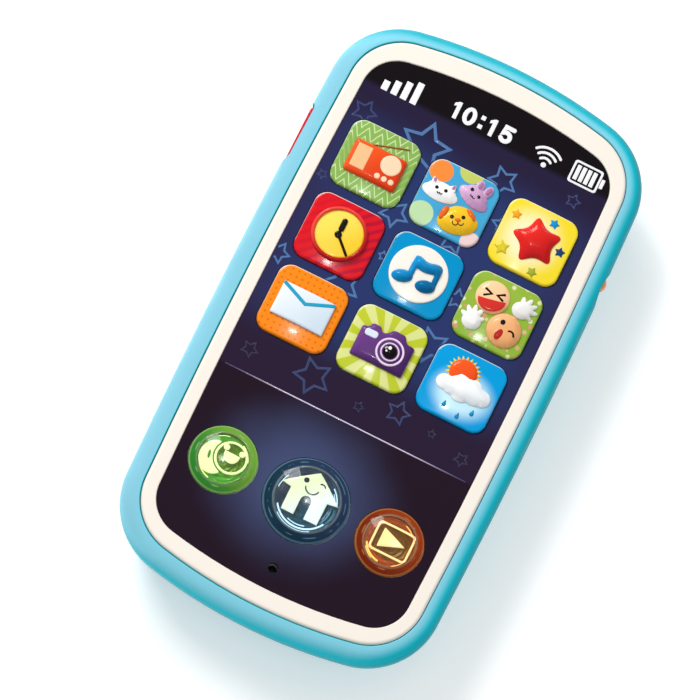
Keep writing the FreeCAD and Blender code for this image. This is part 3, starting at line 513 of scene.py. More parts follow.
def middle_of(node):
    """A CAD node's middle, seen from the front, in millimetres."""
    low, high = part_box(node)
    return (low.x + high.x) / 2 / MM, (low.y + high.y) / 2 / MM


def give(material, *nodes):
    """Replaces the materials of CAD nodes."""
    for node in nodes:
        mesh = frame["nodes"][node].data
        mesh.materials.clear()
        mesh.materials.append(material)


class Place:
    """A CAD node that carries pictures. They are drawn from its middle and sit on its front surface."""

    def __init__(self, node, body=None):
        self.node = node
        self.body = body or node
        self.slot = SLOTS[node]
        self.x, self.y = middle_of(node)
        self.surface = surface_of(node)

    def add(self, name, shapes, material, height, edge, lift=0.0, base=None, **settings):
        """A raised piece, `lift` above the front surface unless it is given a base of its own."""
        placed = [[[(x + self.x, y + self.y) for x, y in loop] for loop in shape] for shape in shapes]
        relief(f"{self.node}_{name}", placed, base or (lambda x, y: self.surface(x, y) + lift),
               height, edge, self.body, material, self.slot, **settings)

    def paint(self, name):
        """A material measured from the node's middle."""
        return Paint(name, (self.x, self.y, 0.0))

    def shaded(self, name, light, dark, reach=7.0, **settings):
        """Painted light and shade: a colour that runs from `light` at the upper left of a picture to
        `dark` at its lower right, as the lights fall.
        """
        paint = self.paint(name)
        share = (paint.x - paint.y).ramp(-reach, reach)
        return paint.finish(paint.mix(share, light, dark), **(settings or GLOSS))

    def cover(self, paint, tone):
        """Gives the key itself its print, with a painted highlight on its rim."""
        give(paint.finish(paint.painted_rim_highlight(tone), **GLOSS), self.node)


# ---- case and small parts ----
def cyan_plastic(name, **settings):
    """Slightly see-through cyan moulding, with painted light and shade: pale where it faces up or left,
    towards the key light, and deep teal on its far sides, which is partly its own see-through colour and
    partly painted shade; faces towards the top end are painted a darker teal too.
    """
    paint = Paint(name)
    x, y, z = paint.normal()
    # How far a face turns up and to the left, towards the key light; the colours below follow it as
    # painted light and shade.
    facing = z - x * 0.8 - y.math("MAXIMUM", 0.0) * 0.85
    deep = paint.mix(facing.ramp(-0.3, 0.5), "00A2B2", "14C2D4")
    lit = paint.mix(facing.ramp(0.9, 1.25), "82CFE2", "82C1D4")
    tone = paint.mix(facing.ramp(0.3, 0.95), deep, lit)
    # Painted shade: faces turned towards the top end are darkened.
    tone = paint.mix(y.ramp(0.15, 0.7) * 0.45, tone, "1C98AA")
    return paint.finish(tone, specular=0.06, **settings)


def case_finishes():
    """Finishes of the moulded pieces that are seen from outside."""
    give(cyan_plastic("housing", roughness=0.34, coat=0.04, mottle=0.015, grain=0.003), "rear_housing")
    give(cyan_plastic("door", roughness=0.36, coat=0.03, mottle=0.02, grain=0.012), "battery_door")
    bezel = Paint("bezel")
    # Painted shade: the bezel is a darker cream below its front face, lower down towards the seam with the
    # housing.
    tone = bezel.mix(bezel.z.ramp(20.8, 21.3), "CFC4AE", "F6EEE2")
    give(bezel.finish(tone, roughness=0.3, coat=0.15, mottle=0.01, grain=0.003), "front_bezel")
    give(plain("rocker", "CF1B2E"), "volume_rocker")
    give(plain("knob", "F08A1E"), "power_knob")


def brushed(name, colour, roughness, across):
    """Metal with fine scratches; across is the direction that they follow one another in."""
    paint = Paint(name)
    scratches_per_mm = 6.0
    noise = paint.node("ShaderNodeTexNoise", noise_dimensions="1D")
    put(noise.inputs["W"], (paint.x if across == "x" else paint.y) * scratches_per_mm)
    tone = paint.mix(Value(noise.outputs["Fac"]), "8E9196", colour)
    return paint.finish(tone, roughness=roughness, metal=1.0, grain=0.003, grain_size=0.3)


def inner_finishes():
    """Everything that only shows when the toy is opened or looked at from behind."""
    give(brushed("screw_steel", "D9DCDF", 0.32, "x"),
         "case_screws", "battery_door_screw", "board_screws", "speaker_screws")
    give(brushed("contact_steel", "E3E4E2", 0.25, "y"),
         "battery_terminals", "battery_link", "battery_springs")
    give(brushed("magnet_steel", "A9ACB0", 0.4, "x"), "speaker_magnet")
    board = Paint("board")
    lanes = ((board.x + board.noise(7.0) * 6) / 1.7).wave().ramp(0.62, 0.7)
    tone = board.mix(lanes * 0.6, "0F4E2C", "2C7C46")
    give(board.finish(tone, roughness=0.35, coat=0.3), "main_board")
    give(plain("rubber", "8C9298", roughness=0.75, mottle=0.05, grain=0.02), "rubber_keypad")
    give(plain("resin", "0D0D0F", roughness=0.2, coat=0.6, grain=0.03, grain_size=2.0), "controller_chip")
    resistor = Paint("resistor")
    bands = (resistor.x / 1.1).wave().ramp(0.6, 0.75)
    give(resistor.finish(resistor.mix(bands, "C9B48A", "6B3A22"), roughness=0.5), "board_resistors")
    sleeve = Paint("capacitor_sleeve")
    stripe = (sleeve.y.math("ABSOLUTE") / 3.0).wave().ramp(0.7, 0.75)
    give(sleeve.finish(sleeve.mix(stripe * 0.7, "20284A", "B9BFCE"), **GLOSS), "board_capacitor")
    cone = Paint("cone")
    tone = cone.mix(cone.noise(0.5, 4.0), "17181A", "34363A")
    give(cone.finish(tone, roughness=0.85, grain=0.03), "speaker_cone")
    give(plain("lamp", "FFF4DC", roughness=0.3, glow=3.0), "indicator_leds")
    give(plain("inner_plastic", "DAD9D2", roughness=0.45, mottle=0.03, grain=0.01),
         "speaker_frame", "speaker_retainer", "power_switch", "power_switch_lever",
         "volume_switches", "volume_plungers")
    give(plain("wire", "B8261E", roughness=0.4, grain=0.006), "speaker_wires", "battery_wires")
    jacket = Paint("cell_jacket")
    band = ((jacket.y + 14) / 60).math("ABSOLUTE").ramp(0.30, 0.305)
    tone = jacket.mix(band, "2E5E3A", "C8A24A")
    give(jacket.finish(tone, roughness=0.3, coat=0.4, metal=0.4), "battery_cells")


# ---- panel ----
def panel_finish(panel):
    """Night-sky print: navy in the middle, purple-black towards the ends, a glow round the home key."""
    paint = panel.paint("panel")
    sides = (paint.x.math("ABSOLUTE") + paint.noise(20.0) * 6).ramp(22.0, 38.0)
    upper = paint.mix(sides, "2B3868", "2F2E52")
    night = (paint.y + paint.noise(15.0) * 4).ramp(1.0, -12.0)
    upper = paint.mix(night, upper, "2B2035")
    home_y = middle_of("dome_home")[1] - panel.y
    far = paint.radius(-3.0, home_y + 2.5, stretch=1.15) + paint.noise(12.0) * 4
    lower = paint.mix(far.ramp(6.0, 25.5), "444D72", "251926")
    sky = paint.mix(paint.y.ramp(RULE_Y + 0.4, RULE_Y - 0.4), upper, lower)
    dusk = (paint.y + paint.noise(15.0) * 3).ramp(41.0, BAND_Y)
    sky = paint.mix(dusk * 0.9, sky, "281F36")
    sky = paint.mix(paint.y.ramp(BAND_Y + 0.5, BAND_Y + 2.5), sky, "171316")
    give(paint.finish(sky, roughness=0.03, uneven=0.02, mottle=0.03, grain=0.002, specular=0.25),
         panel.node)


# Printed star outlines: x, y, radius, direction of the first point in degrees.
BRIGHT_STARS = ((-11.9, 46.2, 6.7, 92), (7.8, 47.2, 4.0, 125), (12.4, 37.4, 3.2, 178),
                (-11.3, 28.4, 4.0, 63), (3.7, 28.9, 4.0, 90), (10.4, 16.6, 2.9, 100),
                (-31.0, 7.5, 3.1, 77), (-14.7, 7.6, 4.9, 53), (9.6, 3.6, 4.9, 50),
                (-11.3, -15.4, 5.0, 52), (9.8, -14.1, 3.3, 86), (-9.2, 17.9, 1.5, 100))
FAINT_STARS = ((-27.9, 47.3, 3.4, 78), (-30.1, 29.1, 1.5, 60), (-26.9, -16.2, 2.4, 70),
               (1.1, -17.0, 1.6, 80), (18.8, -15.1, 1.3, 95), (27.4, -17.4, 2.1, 60),
               (24.4, 50.4, 2.1, 84))


def star_ring(x, y, r, turn):
    """A star drawn as a line, thicker on a larger star."""
    line = 0.2 + 0.075 * r
    return [star(x, y, r, 0.52, turn, 0.25), star(x, y, r - 2.2 * line, 0.5, turn, 0.15)]


def outside_keys(panel):
    """A test for which points of the panel are printed: those clear of its sides and the key openings."""
    openings = []
    for node in frame["nodes"]:
        if node.startswith("key_"):
            low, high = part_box(node)
            half = [(high[i] - low[i]) / 2 / MM - FLANGE + KEY_GAP for i in (0, 1)]
            openings.append((middle_of(node), np.array(half) - KEY_CORNER))

    def printed(points):
        free = np.abs(points[:, 0] - panel.x) < PRINT_HALF_W
        for middle, core in openings:
            past = np.maximum(np.abs(points - middle) - core, 0)
            free &= np.hypot(past[:, 0], past[:, 1]) > KEY_CORNER
        return free
    return printed


def panel_print(panel):
    """The star outlines and the dividing line."""
    printed = outside_keys(panel)
    for name, stars, low, high in (("stars", BRIGHT_STARS, "36406A", "4C74A8"),
                                   ("faint_stars", FAINT_STARS, "322F4C", "363E6E")):
        paint = panel.paint(name)
        tone = paint.mix((paint.y + paint.noise(6.0) * 8).ramp(-10.0, 14.0), low, high)
        rings = [star_ring(*place) for place in stars]
        panel.add(name, rings, paint.finish(tone, **INK), STAR_INK_H, 0.06, spacing=0.35, keep=printed)
    rule = panel.paint("rule")
    fade = rule.x.math("ABSOLUTE").ramp(12.0, 30.0)
    ink = rule.finish(rule.mix(fade, "D6CBE6", "4A4266"), **INK)
    line = [[stroke([(-30.4, RULE_Y), (30.4, RULE_Y)], 0.3)]]
    panel.add("rule", line, ink, 0.06, 0.1, spacing=1.0)


def digit_one(x, y):
    return [[rounded([(x - 0.2, y - 2.2), (x + 0.8, y - 2.2), (x + 0.8, y + 2.2), (x + 0.1, y + 2.2),
                      (x - 0.9, y + 1.5), (x - 0.9, y + 0.7), (x - 0.2, y + 1.0)], 0.12)]]


def digit_zero(x, y):
    return [[ellipse(x, y, 1.65, 2.3), ellipse(x, y, 0.55, 1.3)]]


def digit_five(x, y):
    path = [(x + 1.15, y + 1.7), (x - 0.75, y + 1.7), (x - 0.95, y + 0.15)]
    path += arc(x - 0.15, y - 0.65, 1.1, 115, -150, 16)
    return [[stroke(path, 1.1)]]


def status_bar(panel):
    """Signal bars, the time, the wireless mark and the battery mark, all printed in white."""
    white = plain("status_white", "F4F4F6", **INK)
    bars = []
    for i in range(4):
        x = -27.1 + 2.45 * i
        bars.append([rectangle(x, x + 1.6, STATUS_Y - 3.1, STATUS_Y - 0.6 + 1.05 * i, 0.15)])
    high = STATUS_Y + 0.5
    clock = digit_one(-9.2, high) + digit_zero(-5.7, high) + digit_one(0.0, high) + digit_five(3.9, high)
    clock += [[rectangle(-3.15, -2.05, high + k, high + k + 1.1, 0.15)] for k in (-1.7, 0.6)]
    waves = [[circle(14.5, STATUS_Y - 2.1, 0.65, 20)]]
    waves += [[stroke(arc(14.5, STATUS_Y - 2.2, r, 135, 45), 0.65)] for r in (1.8, 3.1, 4.4)]
    cell = [[rectangle(20.8, 28.1, STATUS_Y - 2.9, STATUS_Y + 2.9, 0.8),
             rectangle(21.35, 27.55, STATUS_Y - 2.35, STATUS_Y + 2.35, 0.5)],
            [rectangle(28.25, 29.1, STATUS_Y - 1.2, STATUS_Y + 1.2, 0.2)]]
    cell += [[rectangle(21.8 + 1.36 * i, 22.8 + 1.36 * i, STATUS_Y - 1.9, STATUS_Y + 1.9, 0.15)]
             for i in range(4)]
    for name, shapes in (("signal", bars), ("time", clock), ("wireless", waves), ("battery", cell)):
        panel.add(name, shapes, white, 0.07, 0.1, spacing=0.5)


# ---- pictures on the keys ----
def picture_key(name):
    """A square key, and the material of its own printed top."""
    key = Place(f"key_{name}")
    return key, key.paint(f"{name}_print")


def radio():
    key, paint = picture_key("radio")
    zigzag = (paint.x / 3.3).wave() * (paint.noise(4.0) * 1.6 + 2.2)
    lines = ((paint.y + zigzag) / 2.3).wave().ramp(0.74, 0.84)
    ends = paint.y.math("ABSOLUTE").ramp(2.5, 4.5) * 0.7 + 0.3
    key.cover(paint, paint.mix(lines * ends, "8AB456", "CCE4AA"))
    body = key.shaded("radio_body", "F65A22", "DE3C12")
    peach = plain("radio_peach", "FFC28C")
    cream = plain("radio_cream", "FFD9B4")
    key.add("body", [[rectangle(-6.5, 6.65, -4.9, 3.5, 0.9)]], body, 1.0, 0.9, wall=0.15)
    key.add("grille", [[rectangle(-5.5, -1.9, -3.55, 2.45, 0.2)]], peach, 0.18, 0.2, lift=0.95)
    dials = [[circle(3.4, 0.55, 2.5)]] + [[circle(x, -3.1, 0.72, 24)] for x in (1.55, 3.3, 5.05)]
    key.add("dials", dials, cream, 0.22, 0.3, lift=0.93)
    rod = plain("radio_rod", "A8562A")
    key.add("aerial", [[stroke([(-2.3, 3.6), (5.6, 6.4)], 0.34)]], rod, 0.3, 0.17)


def animal_face(key, name, lift, eyes, mouth, eye_r=0.44):
    """Black eyes and a thin mouth line on a small head."""
    black = plain(f"{name}_black", "20140F", roughness=0.2, coat=0.8)
    shapes = [[circle(x, y, eye_r, 20)] for x, y in eyes] + [[stroke(line, 0.24, 4)] for line in mouth]
    key.add(f"{name}_face", shapes, black, 0.14, 0.14, lift=lift, spacing=0.3)


def animals():
    key, paint = picture_key("animals")
    tone = paint.mix(paint.noise(8.0), "2E9ACA", "54B2DC")
    for x, y, r, colour in ((-5.9, 5.4, 2.8, "F98B3C"), (0.7, 8.6, 3.0, "C4CE66"),
                            (-6.0, -6.0, 3.0, "BDDDAA"), (7.3, -7.2, 2.5, "F0D3D3")):
        tone = paint.mix(paint.radius(x, y).ramp(r + 0.12, r - 0.12), tone, colour)
    key.cover(paint, tone)
    cat = union([(-4.0, 0.25, 4.4, 2.0, 0), (-4.0, 1.1, 3.6, 1.9, 0)], -4.0, 0.5)
    ears = [[rounded([(-7.1, 1.4), (-6.9, 3.7), (-4.8, 2.4)], 0.6)],
            [rounded([(-3.0, 2.6), (-1.2, 3.8), (-0.8, 1.2)], 0.6)]]
    white = key.shaded("cat_white", "FFFFFF", "E4E2DE")
    key.add("cat", [[cat]], white, 1.0, 1.3, wall=0.1, soften=6)
    key.add("cat_ears", ears, white, 0.75, 0.5, wall=0.1, soften=2)
    bunny = union([(3.4, 2.7, 4.1, 2.0, -20), (3.6, 3.4, 3.1, 2.5, -20)], 3.5, 2.9)
    long_ears = [[ellipse(3.7, 6.1, 1.05, 1.6, -8)], [ellipse(5.9, 5.6, 1.05, 1.8, -20)]]
    pink = key.shaded("bunny_pink", "E0B8DC", "BE8CBC")
    key.add("bunny_ears", long_ears, pink, 0.8, 0.9, wall=0.1, soften=4)
    key.add("bunny", [[bunny]], pink, 1.05, 1.3, wall=0.1, soften=6)
    inner = plain("ear_inner", "B878AA")
    insides = [[ellipse(3.7, 6.3, 0.45, 0.9, -8, 24)], [ellipse(5.95, 5.8, 0.45, 1.0, -20, 24)]]
    insides += [[ellipse(-6.35, 2.65, 0.35, 0.55, 20, 20)], [ellipse(-1.65, 2.75, 0.35, 0.55, -20, 20)]]
    key.add("inner_ears", insides, inner, 0.12, 0.12, lift=0.74)
    dog = union([(2.6, -4.2, 4.8, 3.0, 18), (2.7, -3.6, 4.0, 3.4, 18)], 2.6, -4.0)
    yellow = key.shaded("dog_yellow", "FFDE3E", "F2BE22", 9.0)
    key.add("dog", [[dog]], yellow, 1.15, 1.5, wall=0.1, soften=6)
    orange = plain("dog_orange", "EE6A1C")
    dog_ears = [[ellipse(-1.2, -3.6, 0.85, 1.9, -8, 32)], [ellipse(4.7, -1.35, 0.85, 1.75, 48, 32)]]
    key.add("dog_ears", dog_ears, orange, 1.3, 0.6, wall=0.1, soften=2)
    key.add("dog_nose", [[ellipse(2.45, -4.0, 0.75, 0.5, 15, 24)]], orange, 0.3, 0.4, lift=1.05)
    animal_face(key, "cat", 0.95, ((-5.25, 1.0), (-3.0, 1.1)),
                (arc(-4.45, 0.15, 0.3, 190, 360, 6), arc(-3.85, 0.15, 0.3, 180, 350, 6)))
    animal_face(key, "bunny", 1.0, ((2.3, 4.3), (4.4, 3.3)),
                (arc(2.85, 2.95, 0.3, 160, 330, 6), arc(3.4, 2.75, 0.3, 160, 330, 6)))
    animal_face(key, "dog", 1.1, ((0.9, -3.9), (3.35, -2.85)),
                (arc(2.1, -4.75, 0.65, 180, 380, 8), arc(3.3, -4.2, 0.65, 170, 370, 8)), 0.48)


def star_key():
    key, paint = picture_key("star")
    glow = paint.radius(-1.0, 0.0)
    key.cover(paint, paint.mix(glow.ramp(2.5, 9.5), "FFF6C8", "F6DC2E"))
    red = key.shaded("star_red", "F02C22", "C81A1E")
    key.add("star", [[star(0.6, 0.1, 6.4, 0.58, 180, 1.5)]], red, 1.35, 1.9, wall=0.15,
            spacing=0.3, soften=16)
    small = (("orange", -6.2, 4.1, 1.4, 100, "F5A31E"), ("sky", 2.6, 6.0, 1.4, 80, "0E94D0"),
             ("navy", 6.55, 0.4, 1.4, 95, "1A4478"), ("olive", -6.0, -4.7, 2.0, 110, "DCC92A"),
             ("green", 2.7, -6.9, 1.4, 75, "A2B032"))
    for name, x, y, r, turn, colour in small:
        key.add(f"{name}_star", [[star(x, y, r, 0.55, turn, 0.2)]], plain(f"star_{name}", colour),
                0.3, 0.5, soften=2)


def clock():
    key, paint = picture_key("clock")
    stripes = ((paint.x * 0.9 - paint.y + paint.noise(6.0) * 2) / 2.6).wave().ramp(0.3, 0.8)
    side = (paint.x - paint.y * 0.3).ramp(-7.0, 3.0) * 0.5 + 0.3
    key.cover(paint, paint.mix(stripes * side, "E01822", "AE1238"))
    red = key.shaded("clock_red", "F2493C", "B8141E", 6.0)
    key.add("ring", [[circle(-0.2, 0.1, 6.6, 96), circle(-0.2, 0.1, 5.7, 96)]], red, 1.0, 0.45, wall=0.25,
            spacing=0.3)
    yellow = key.shaded("clock_yellow", "FFE560", "F7CE2E")
    key.add("face", [[circle(-0.2, 0.1, 5.75, 80)]], yellow, 0.35, 0.1)
    black = plain("clock_black", "15100C", roughness=0.25, coat=0.6)
    hands = [[stroke([(-0.27, 1.3), (-0.27, 3.4)], 1.4)], [stroke([(-0.3, -0.25), (3.3, -3.8)], 0.7)],
             [circle(-0.35, -0.2, 0.9, 28)]]
    key.add("hands", hands, black, 0.45, 0.35, lift=0.3, spacing=0.3)


def music():
    key, paint = picture_key("music")
    key.cover(paint, paint.mix(paint.noise(10.0), "008AC0", "0098D2"))
    key.add("disc", [[circle(-0.1, 0.05, 6.95, 96)]], plain("music_cream", "F6F1E6"), 0.3, 0.2)
    blue = key.shaded("music_blue", "0C96D6", "00649A", 6.0)
    beam = [(-2.4, 3.9), (-1.2, 4.05), (0.2, 3.55), (1.2, 3.45), (2.6, 4.0), (4.0, 4.0),
            (4.65, 3.3), (4.7, -2.3), (3.4, -2.3), (3.3, 1.4), (1.9, 0.95), (0.4, 0.75),
            (-1.1, 1.1), (-1.2, -2.3), (-2.5, -2.3), (-2.6, 1.2)]
    note = [[rounded(beam, 0.45)], [ellipse(-3.35, -2.15, 2.5, 1.55, 18)],
            [ellipse(2.5, -2.15, 2.4, 1.55, 15)]]
    key.add("note", note, blue, 1.25, 0.85, lift=0.25, wall=0.1, spacing=0.3, soften=5)


def glove(x, y, size, turn):
    """Cartoon hand: a round palm with fingers fanned out."""
    ovals = [(x, y, 1.75 * size, 1.6 * size, 0)]
    for spread, length in ((-72, 2.0), (-36, 2.5), (-8, 2.6), (20, 2.5), (52, 2.2)):
        c, s = heading(turn + spread)
        reach = length * size
        ovals.append((x + reach * 0.62 * c, y + reach * 0.62 * s, reach * 0.55, 0.5 * size, turn + spread))
    return union(ovals, x, y, 160)


def faces():
    key, paint = picture_key("faces")
    gap, hue = paint.spots(1.9)
    flowers = gap.ramp(0.34, 0.2)
    tone = paint.mix(paint.noise(5.0), "7FAE30", "A2BE46")
    petals = paint.mix(hue.ramp(0.3, 0.75), "E98A7E", "EDE7C0")
    key.cover(paint, paint.mix(flowers * 0.85, tone, petals))
    skin = key.shaded("face_skin", "FFD0A0", "F0AC70", 9.0)
    key.add("laughing", [[circle(-2.75, 3.0, 4.05, 64)]], skin, 0.95, 1.6, wall=0.15, soften=4)
    key.add("winking", [[circle(2.85, -3.05, 4.1, 64)]], skin, 1.15, 1.6, wall=0.15, soften=4)
    white = key.shaded("glove_white", "FFFFFF", "DEDDD6")
    key.add("gloves", [[glove(4.5, 3.2, 1.32, 50)], [glove(-4.8, -4.3, 1.32, 105)]], white, 0.8, 0.8,
            wall=0.1, spacing=0.3, soften=3)
    black = plain("face_black", "17110E", roughness=0.25, coat=0.6)
    laugh = [[stroke([(-5.0, 4.05), (-3.3, 3.4), (-4.8, 2.4)], 0.62, 4)],
             [stroke([(-0.5, 4.5), (-1.95, 3.6), (-0.45, 3.0)], 0.62, 4)]]
    key.add("laughing_eyes", laugh, black, 0.16, 0.2, lift=0.85, spacing=0.3)
    wink = [[ellipse(1.85, -1.65, 0.6, 0.68, 0, 28)], [stroke(arc(4.45, -3.75, 0.95, 125, 10, 8), 0.5, 4)]]
    key.add("winking_eyes", wink, black, 0.16, 0.2, lift=1.08, spacing=0.3)
    red = key.shaded("mouth_red", "D8342C", "B8241F")
    grin = [(-6.05, 1.9), *arc(-2.65, 2.05, 3.2, 190, 370, 18), (0.65, 2.75)]
    grin = [(x, 1.75 + (y - 1.75) * 0.85 + 0.1 * (x + 2.7)) for x, y in grin]
    key.add("grin", [[rounded(grin, 0.15, 2)]], red, 0.16, 0.3, lift=0.82)
    key.add("shout", [[ellipse(2.1, -4.6, 0.85, 1.4, -14, 32)]], red, 0.16, 0.3, lift=1.05)


def mail():
    key, paint = picture_key("mail")
    across, up = (paint.x / 1.5).wave(), (paint.y / 1.5).wave()
    dots = (across * up).ramp(0.5, 0.72)
    key.cover(paint, paint.mix(dots * 0.8, "FA8A18", "D8620E"))
    sheet = key.shaded("envelope", "EEF4FB", "CFE0EC", 8.0)
    key.add("envelope", [[rectangle(-6.55, 6.6, -4.25, 4.05, 0.25)]], sheet, 0.65, 0.35, wall=0.3)
    fold = plain("envelope_fold", "22A2C6")
    key.add("fold", [[stroke([(-6.2, 3.55), (0.0, 0.8), (6.25, 3.5)], 0.85)]], fold, 0.14, 0.15, lift=0.63)


def camera_key():
    key, paint = picture_key("camera")
    turn = paint.y.math("ARCTAN2", paint.x) / (2 * math.pi)
    rays = (turn * 13 + 0.25).wave().ramp(0.44, 0.56)
    key.cover(paint, paint.mix(rays, "BFCB30", "DDE28E"))
    purple = key.shaded("camera_purple", "6E3E88", "482660", 8.0)
    outline = [(-6.35, -4.7), (6.85, -4.7), (6.85, 3.1), (4.6, 3.3), (3.7, 4.9), (0.7, 4.9), (-0.5, 3.4),
               (-1.7, 3.2), (-2.1, 4.3), (-4.4, 4.3), (-4.8, 3.1), (-6.35, 2.9)]
    key.add("body", [[rounded(outline, 0.55)]], purple, 1.0, 0.7, wall=0.15, spacing=0.35, soften=2)
    pale = plain("camera_flash", "DCE6F4")
    key.add("flash", [[rectangle(-5.3, -2.1, 0.75, 2.5, 0.8)]], pale, 0.2, 0.2, lift=0.95)
    ring = plain("camera_ring", "F2D9F2")
    middle = (1.95, -0.5)
    rings = [[circle(*middle, r + w, 72), circle(*middle, r, 72)] for r, w in ((2.85, 0.55), (1.85, 0.42))]
    key.add("rings", rings, ring, 0.3, 0.22, lift=0.95, spacing=0.3)
    black = plain("camera_glass", "120B12", roughness=0.08, coat=1.0)
    key.add("glass", [[circle(*middle, 1.72, 48)]], black, 0.4, 1.2, lift=0.95, soften=2)
    # Painted highlights: two white dots on the lens.
    glints = [[circle(1.6, 0.3, 0.42, 20)], [circle(1.1, -0.65, 0.26, 16)]]
    key.add("glints", glints, plain("camera_glint", "FFFFFF"), 0.1, 0.1, lift=1.3, spacing=0.25)


def weather():
    key, paint = picture_key("weather")
    halo = paint.radius(0.7, -1.6, stretch=1.25)
    key.cover(paint, paint.mix(halo.ramp(3.2, 7.2), "C4ECFC", "009CDC"))
    x, y = -1.1, 3.1
    rays = []
    for i in range(22):
        c, s = heading(360 * i / 22)
        rays.append([[(x + 3.2 * c + 0.45 * s, y + 3.2 * s - 0.45 * c), (x + 4.3 * c, y + 4.3 * s),
                      (x + 3.2 * c - 0.45 * s, y + 3.2 * s + 0.45 * c)]])
    yellow = plain("sun_yellow", "F6D24A")
    key.add("rays", rays, yellow, 0.2, 0.2, spacing=0.5)
    sun = key.shaded("sun_red", "F4581E", "D8340E")
    key.add("sun", [[circle(x, y, 3.3, 64)]], sun, 0.6, 1.0, wall=0.1, soften=2)
    lobes = [(-0.8, 1.2, 2.4, 2.3, 0), (-4.1, -0.6, 2.1, 1.9, 0), (4.8, -0.5, 2.5, 2.1, 0),
             (0.2, -1.6, 2.4, 2.1, 0), (2.3, 0.8, 2.3, 2.2, 0), (-2.3, -1.3, 2.0, 1.6, 0),
             (3.2, -1.4, 2.4, 1.6, 0)]
    cloud = key.shaded("cloud", "FFFFFF", "F0F6FA")
    key.add("cloud", [[union(lobes, 0.3, -0.3)]], cloud, 1.35, 1.8, wall=0.15, soften=8)
    blue = plain("rain_blue", "0E8FC2")
    drops = []
    for x, y in ((-2.1, -5.2), (1.8, -6.5), (4.6, -4.4)):
        drop = [(x - 0.62, y - 0.55), (x, y - 0.95), (x + 0.62, y - 0.55), (x + 0.1, y + 0.95)]
        drops.append([rounded(drop, 0.4)])
    key.add("rain", drops, blue, 0.35, 0.5, spacing=0.25, soften=2)


# ---- lit domes ----
class Dome(Place):
    """A round lit key: clear acrylic with a hollow, which holds a picture over a ribbed reflector."""

    def __init__(self, node):
        super().__init__(node)
        low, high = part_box(node)
        self.r = (high.x - low.x) / 2 / MM - FLANGE
        self.well_r = self.r * WELL_SHARE - REFLECTOR_GAP
        off_axis = 0.3
        start = Vector(((self.x + off_axis) * MM, (self.y + off_axis) * MM, low.z - RAY_START))
        self.ceiling = tree_of(node).ray_cast(start, Vector((0, 0, 1)))[0].z / MM

    def acrylic(self, name, middle, low, high, rim):
        """Clear over the hollow and tinted in the solid wall round it. The wall's tint runs from `low` at
        the lower left to `high` at the upper right, its own colour with painted light and shade over it;
        broken rings of the `rim` colour are painted reflections, and a pale line at the rim is a painted
        highlight. Light reaches what is behind it straight, as through thin acrylic."""
        paint = self.paint(name)
        r = paint.radius()
        wall = r.ramp(self.well_r + 0.3, self.well_r + 1.1)
        # Painted light and shade across the wall, from `low` at the lower left to `high` at the upper
        # right.
        tone = paint.mix((paint.x + paint.y + paint.noise(3.0) * 6 - 3).ramp(-self.r, self.r), low, high)
        # Painted reflections: broken rings in the rim colour.
        reflection_streaks = (r * 0.9).wave().ramp(0.7, 0.95) * paint.noise(2.4).ramp(0.5, 0.62) * 0.7
        # Painted highlight: a pale line just inside the rim.
        edge = r.ramp(self.r - 0.5, self.r - 0.2) * 0.5
        tint = paint.mix(edge.math("MAXIMUM", reflection_streaks) * wall, paint.mix(wall, middle, tone), rim)
        give(paint.finish(tint, roughness=0.06, mottle=0.0, grain=0.002, grain_size=1.5), self.node)
        put(paint.shader.inputs["Transmission Weight"], wall * -0.6 + 0.98)
        put(paint.shader.inputs["IOR"], ACRYLIC_IOR)
        see = paint.node("ShaderNodeBsdfTransparent")
        put(see.inputs[0], (0.9, 0.9, 0.9, 1.0))
        swap = paint.node("ShaderNodeMixShader")
        put(swap.inputs[0], paint.node("ShaderNodeLightPath").outputs["Is Shadow Ray"])
        put(swap.inputs[1], paint.shader.outputs[0])
        put(swap.inputs[2], see.outputs[0])
        put(paint.tree.nodes["Material Output"].inputs["Surface"], swap.outputs[0])

    def reflector(self, material):
        """Shallow dish with fine concentric ribs, just below the picture."""
        ribs, rib_h, hole_r = 5, 0.09, 0.15
        drop, dish_h, thick = 0.95, 0.45, 0.3
        steps = ribs * 6
        top = []
        for i in range(steps + 1):
            share = i / steps
            rib = rib_h * math.cos(2 * math.pi * ribs * share)
            z = self.ceiling - drop + dish_h * share ** 2 + rib
            top.append((hole_r + (self.well_r - hole_r) * share, z))
        under = [(r, z - thick) for r, z in reversed(top)]
        turned(f"{self.node}_reflector", top + under, self.x, self.y, self.body, material)

    def glints(self, colour, arcs):
        """Painted highlights: glowing arcs in the hollow that stand for light caught in its edge, given as
        (radius, start, end, width).
        """
        shapes = [[stroke(arc(0, 0, r, start, end, 24), width)] for r, start, end, width in arcs]
        self.picture("glints", shapes, plain(f"{self.node}_glint", colour, roughness=0.2, glow=0.8),
                     drop=0.35, spacing=0.4)

    def picture(self, name, shapes, material, thick=0.12, drop=0.2, **settings):
        """A flat piece, `drop` below the hollow's ceiling."""
        self.add(name, shapes, material, thick, 0.1, base=lambda x, y: self.ceiling - drop, **settings)


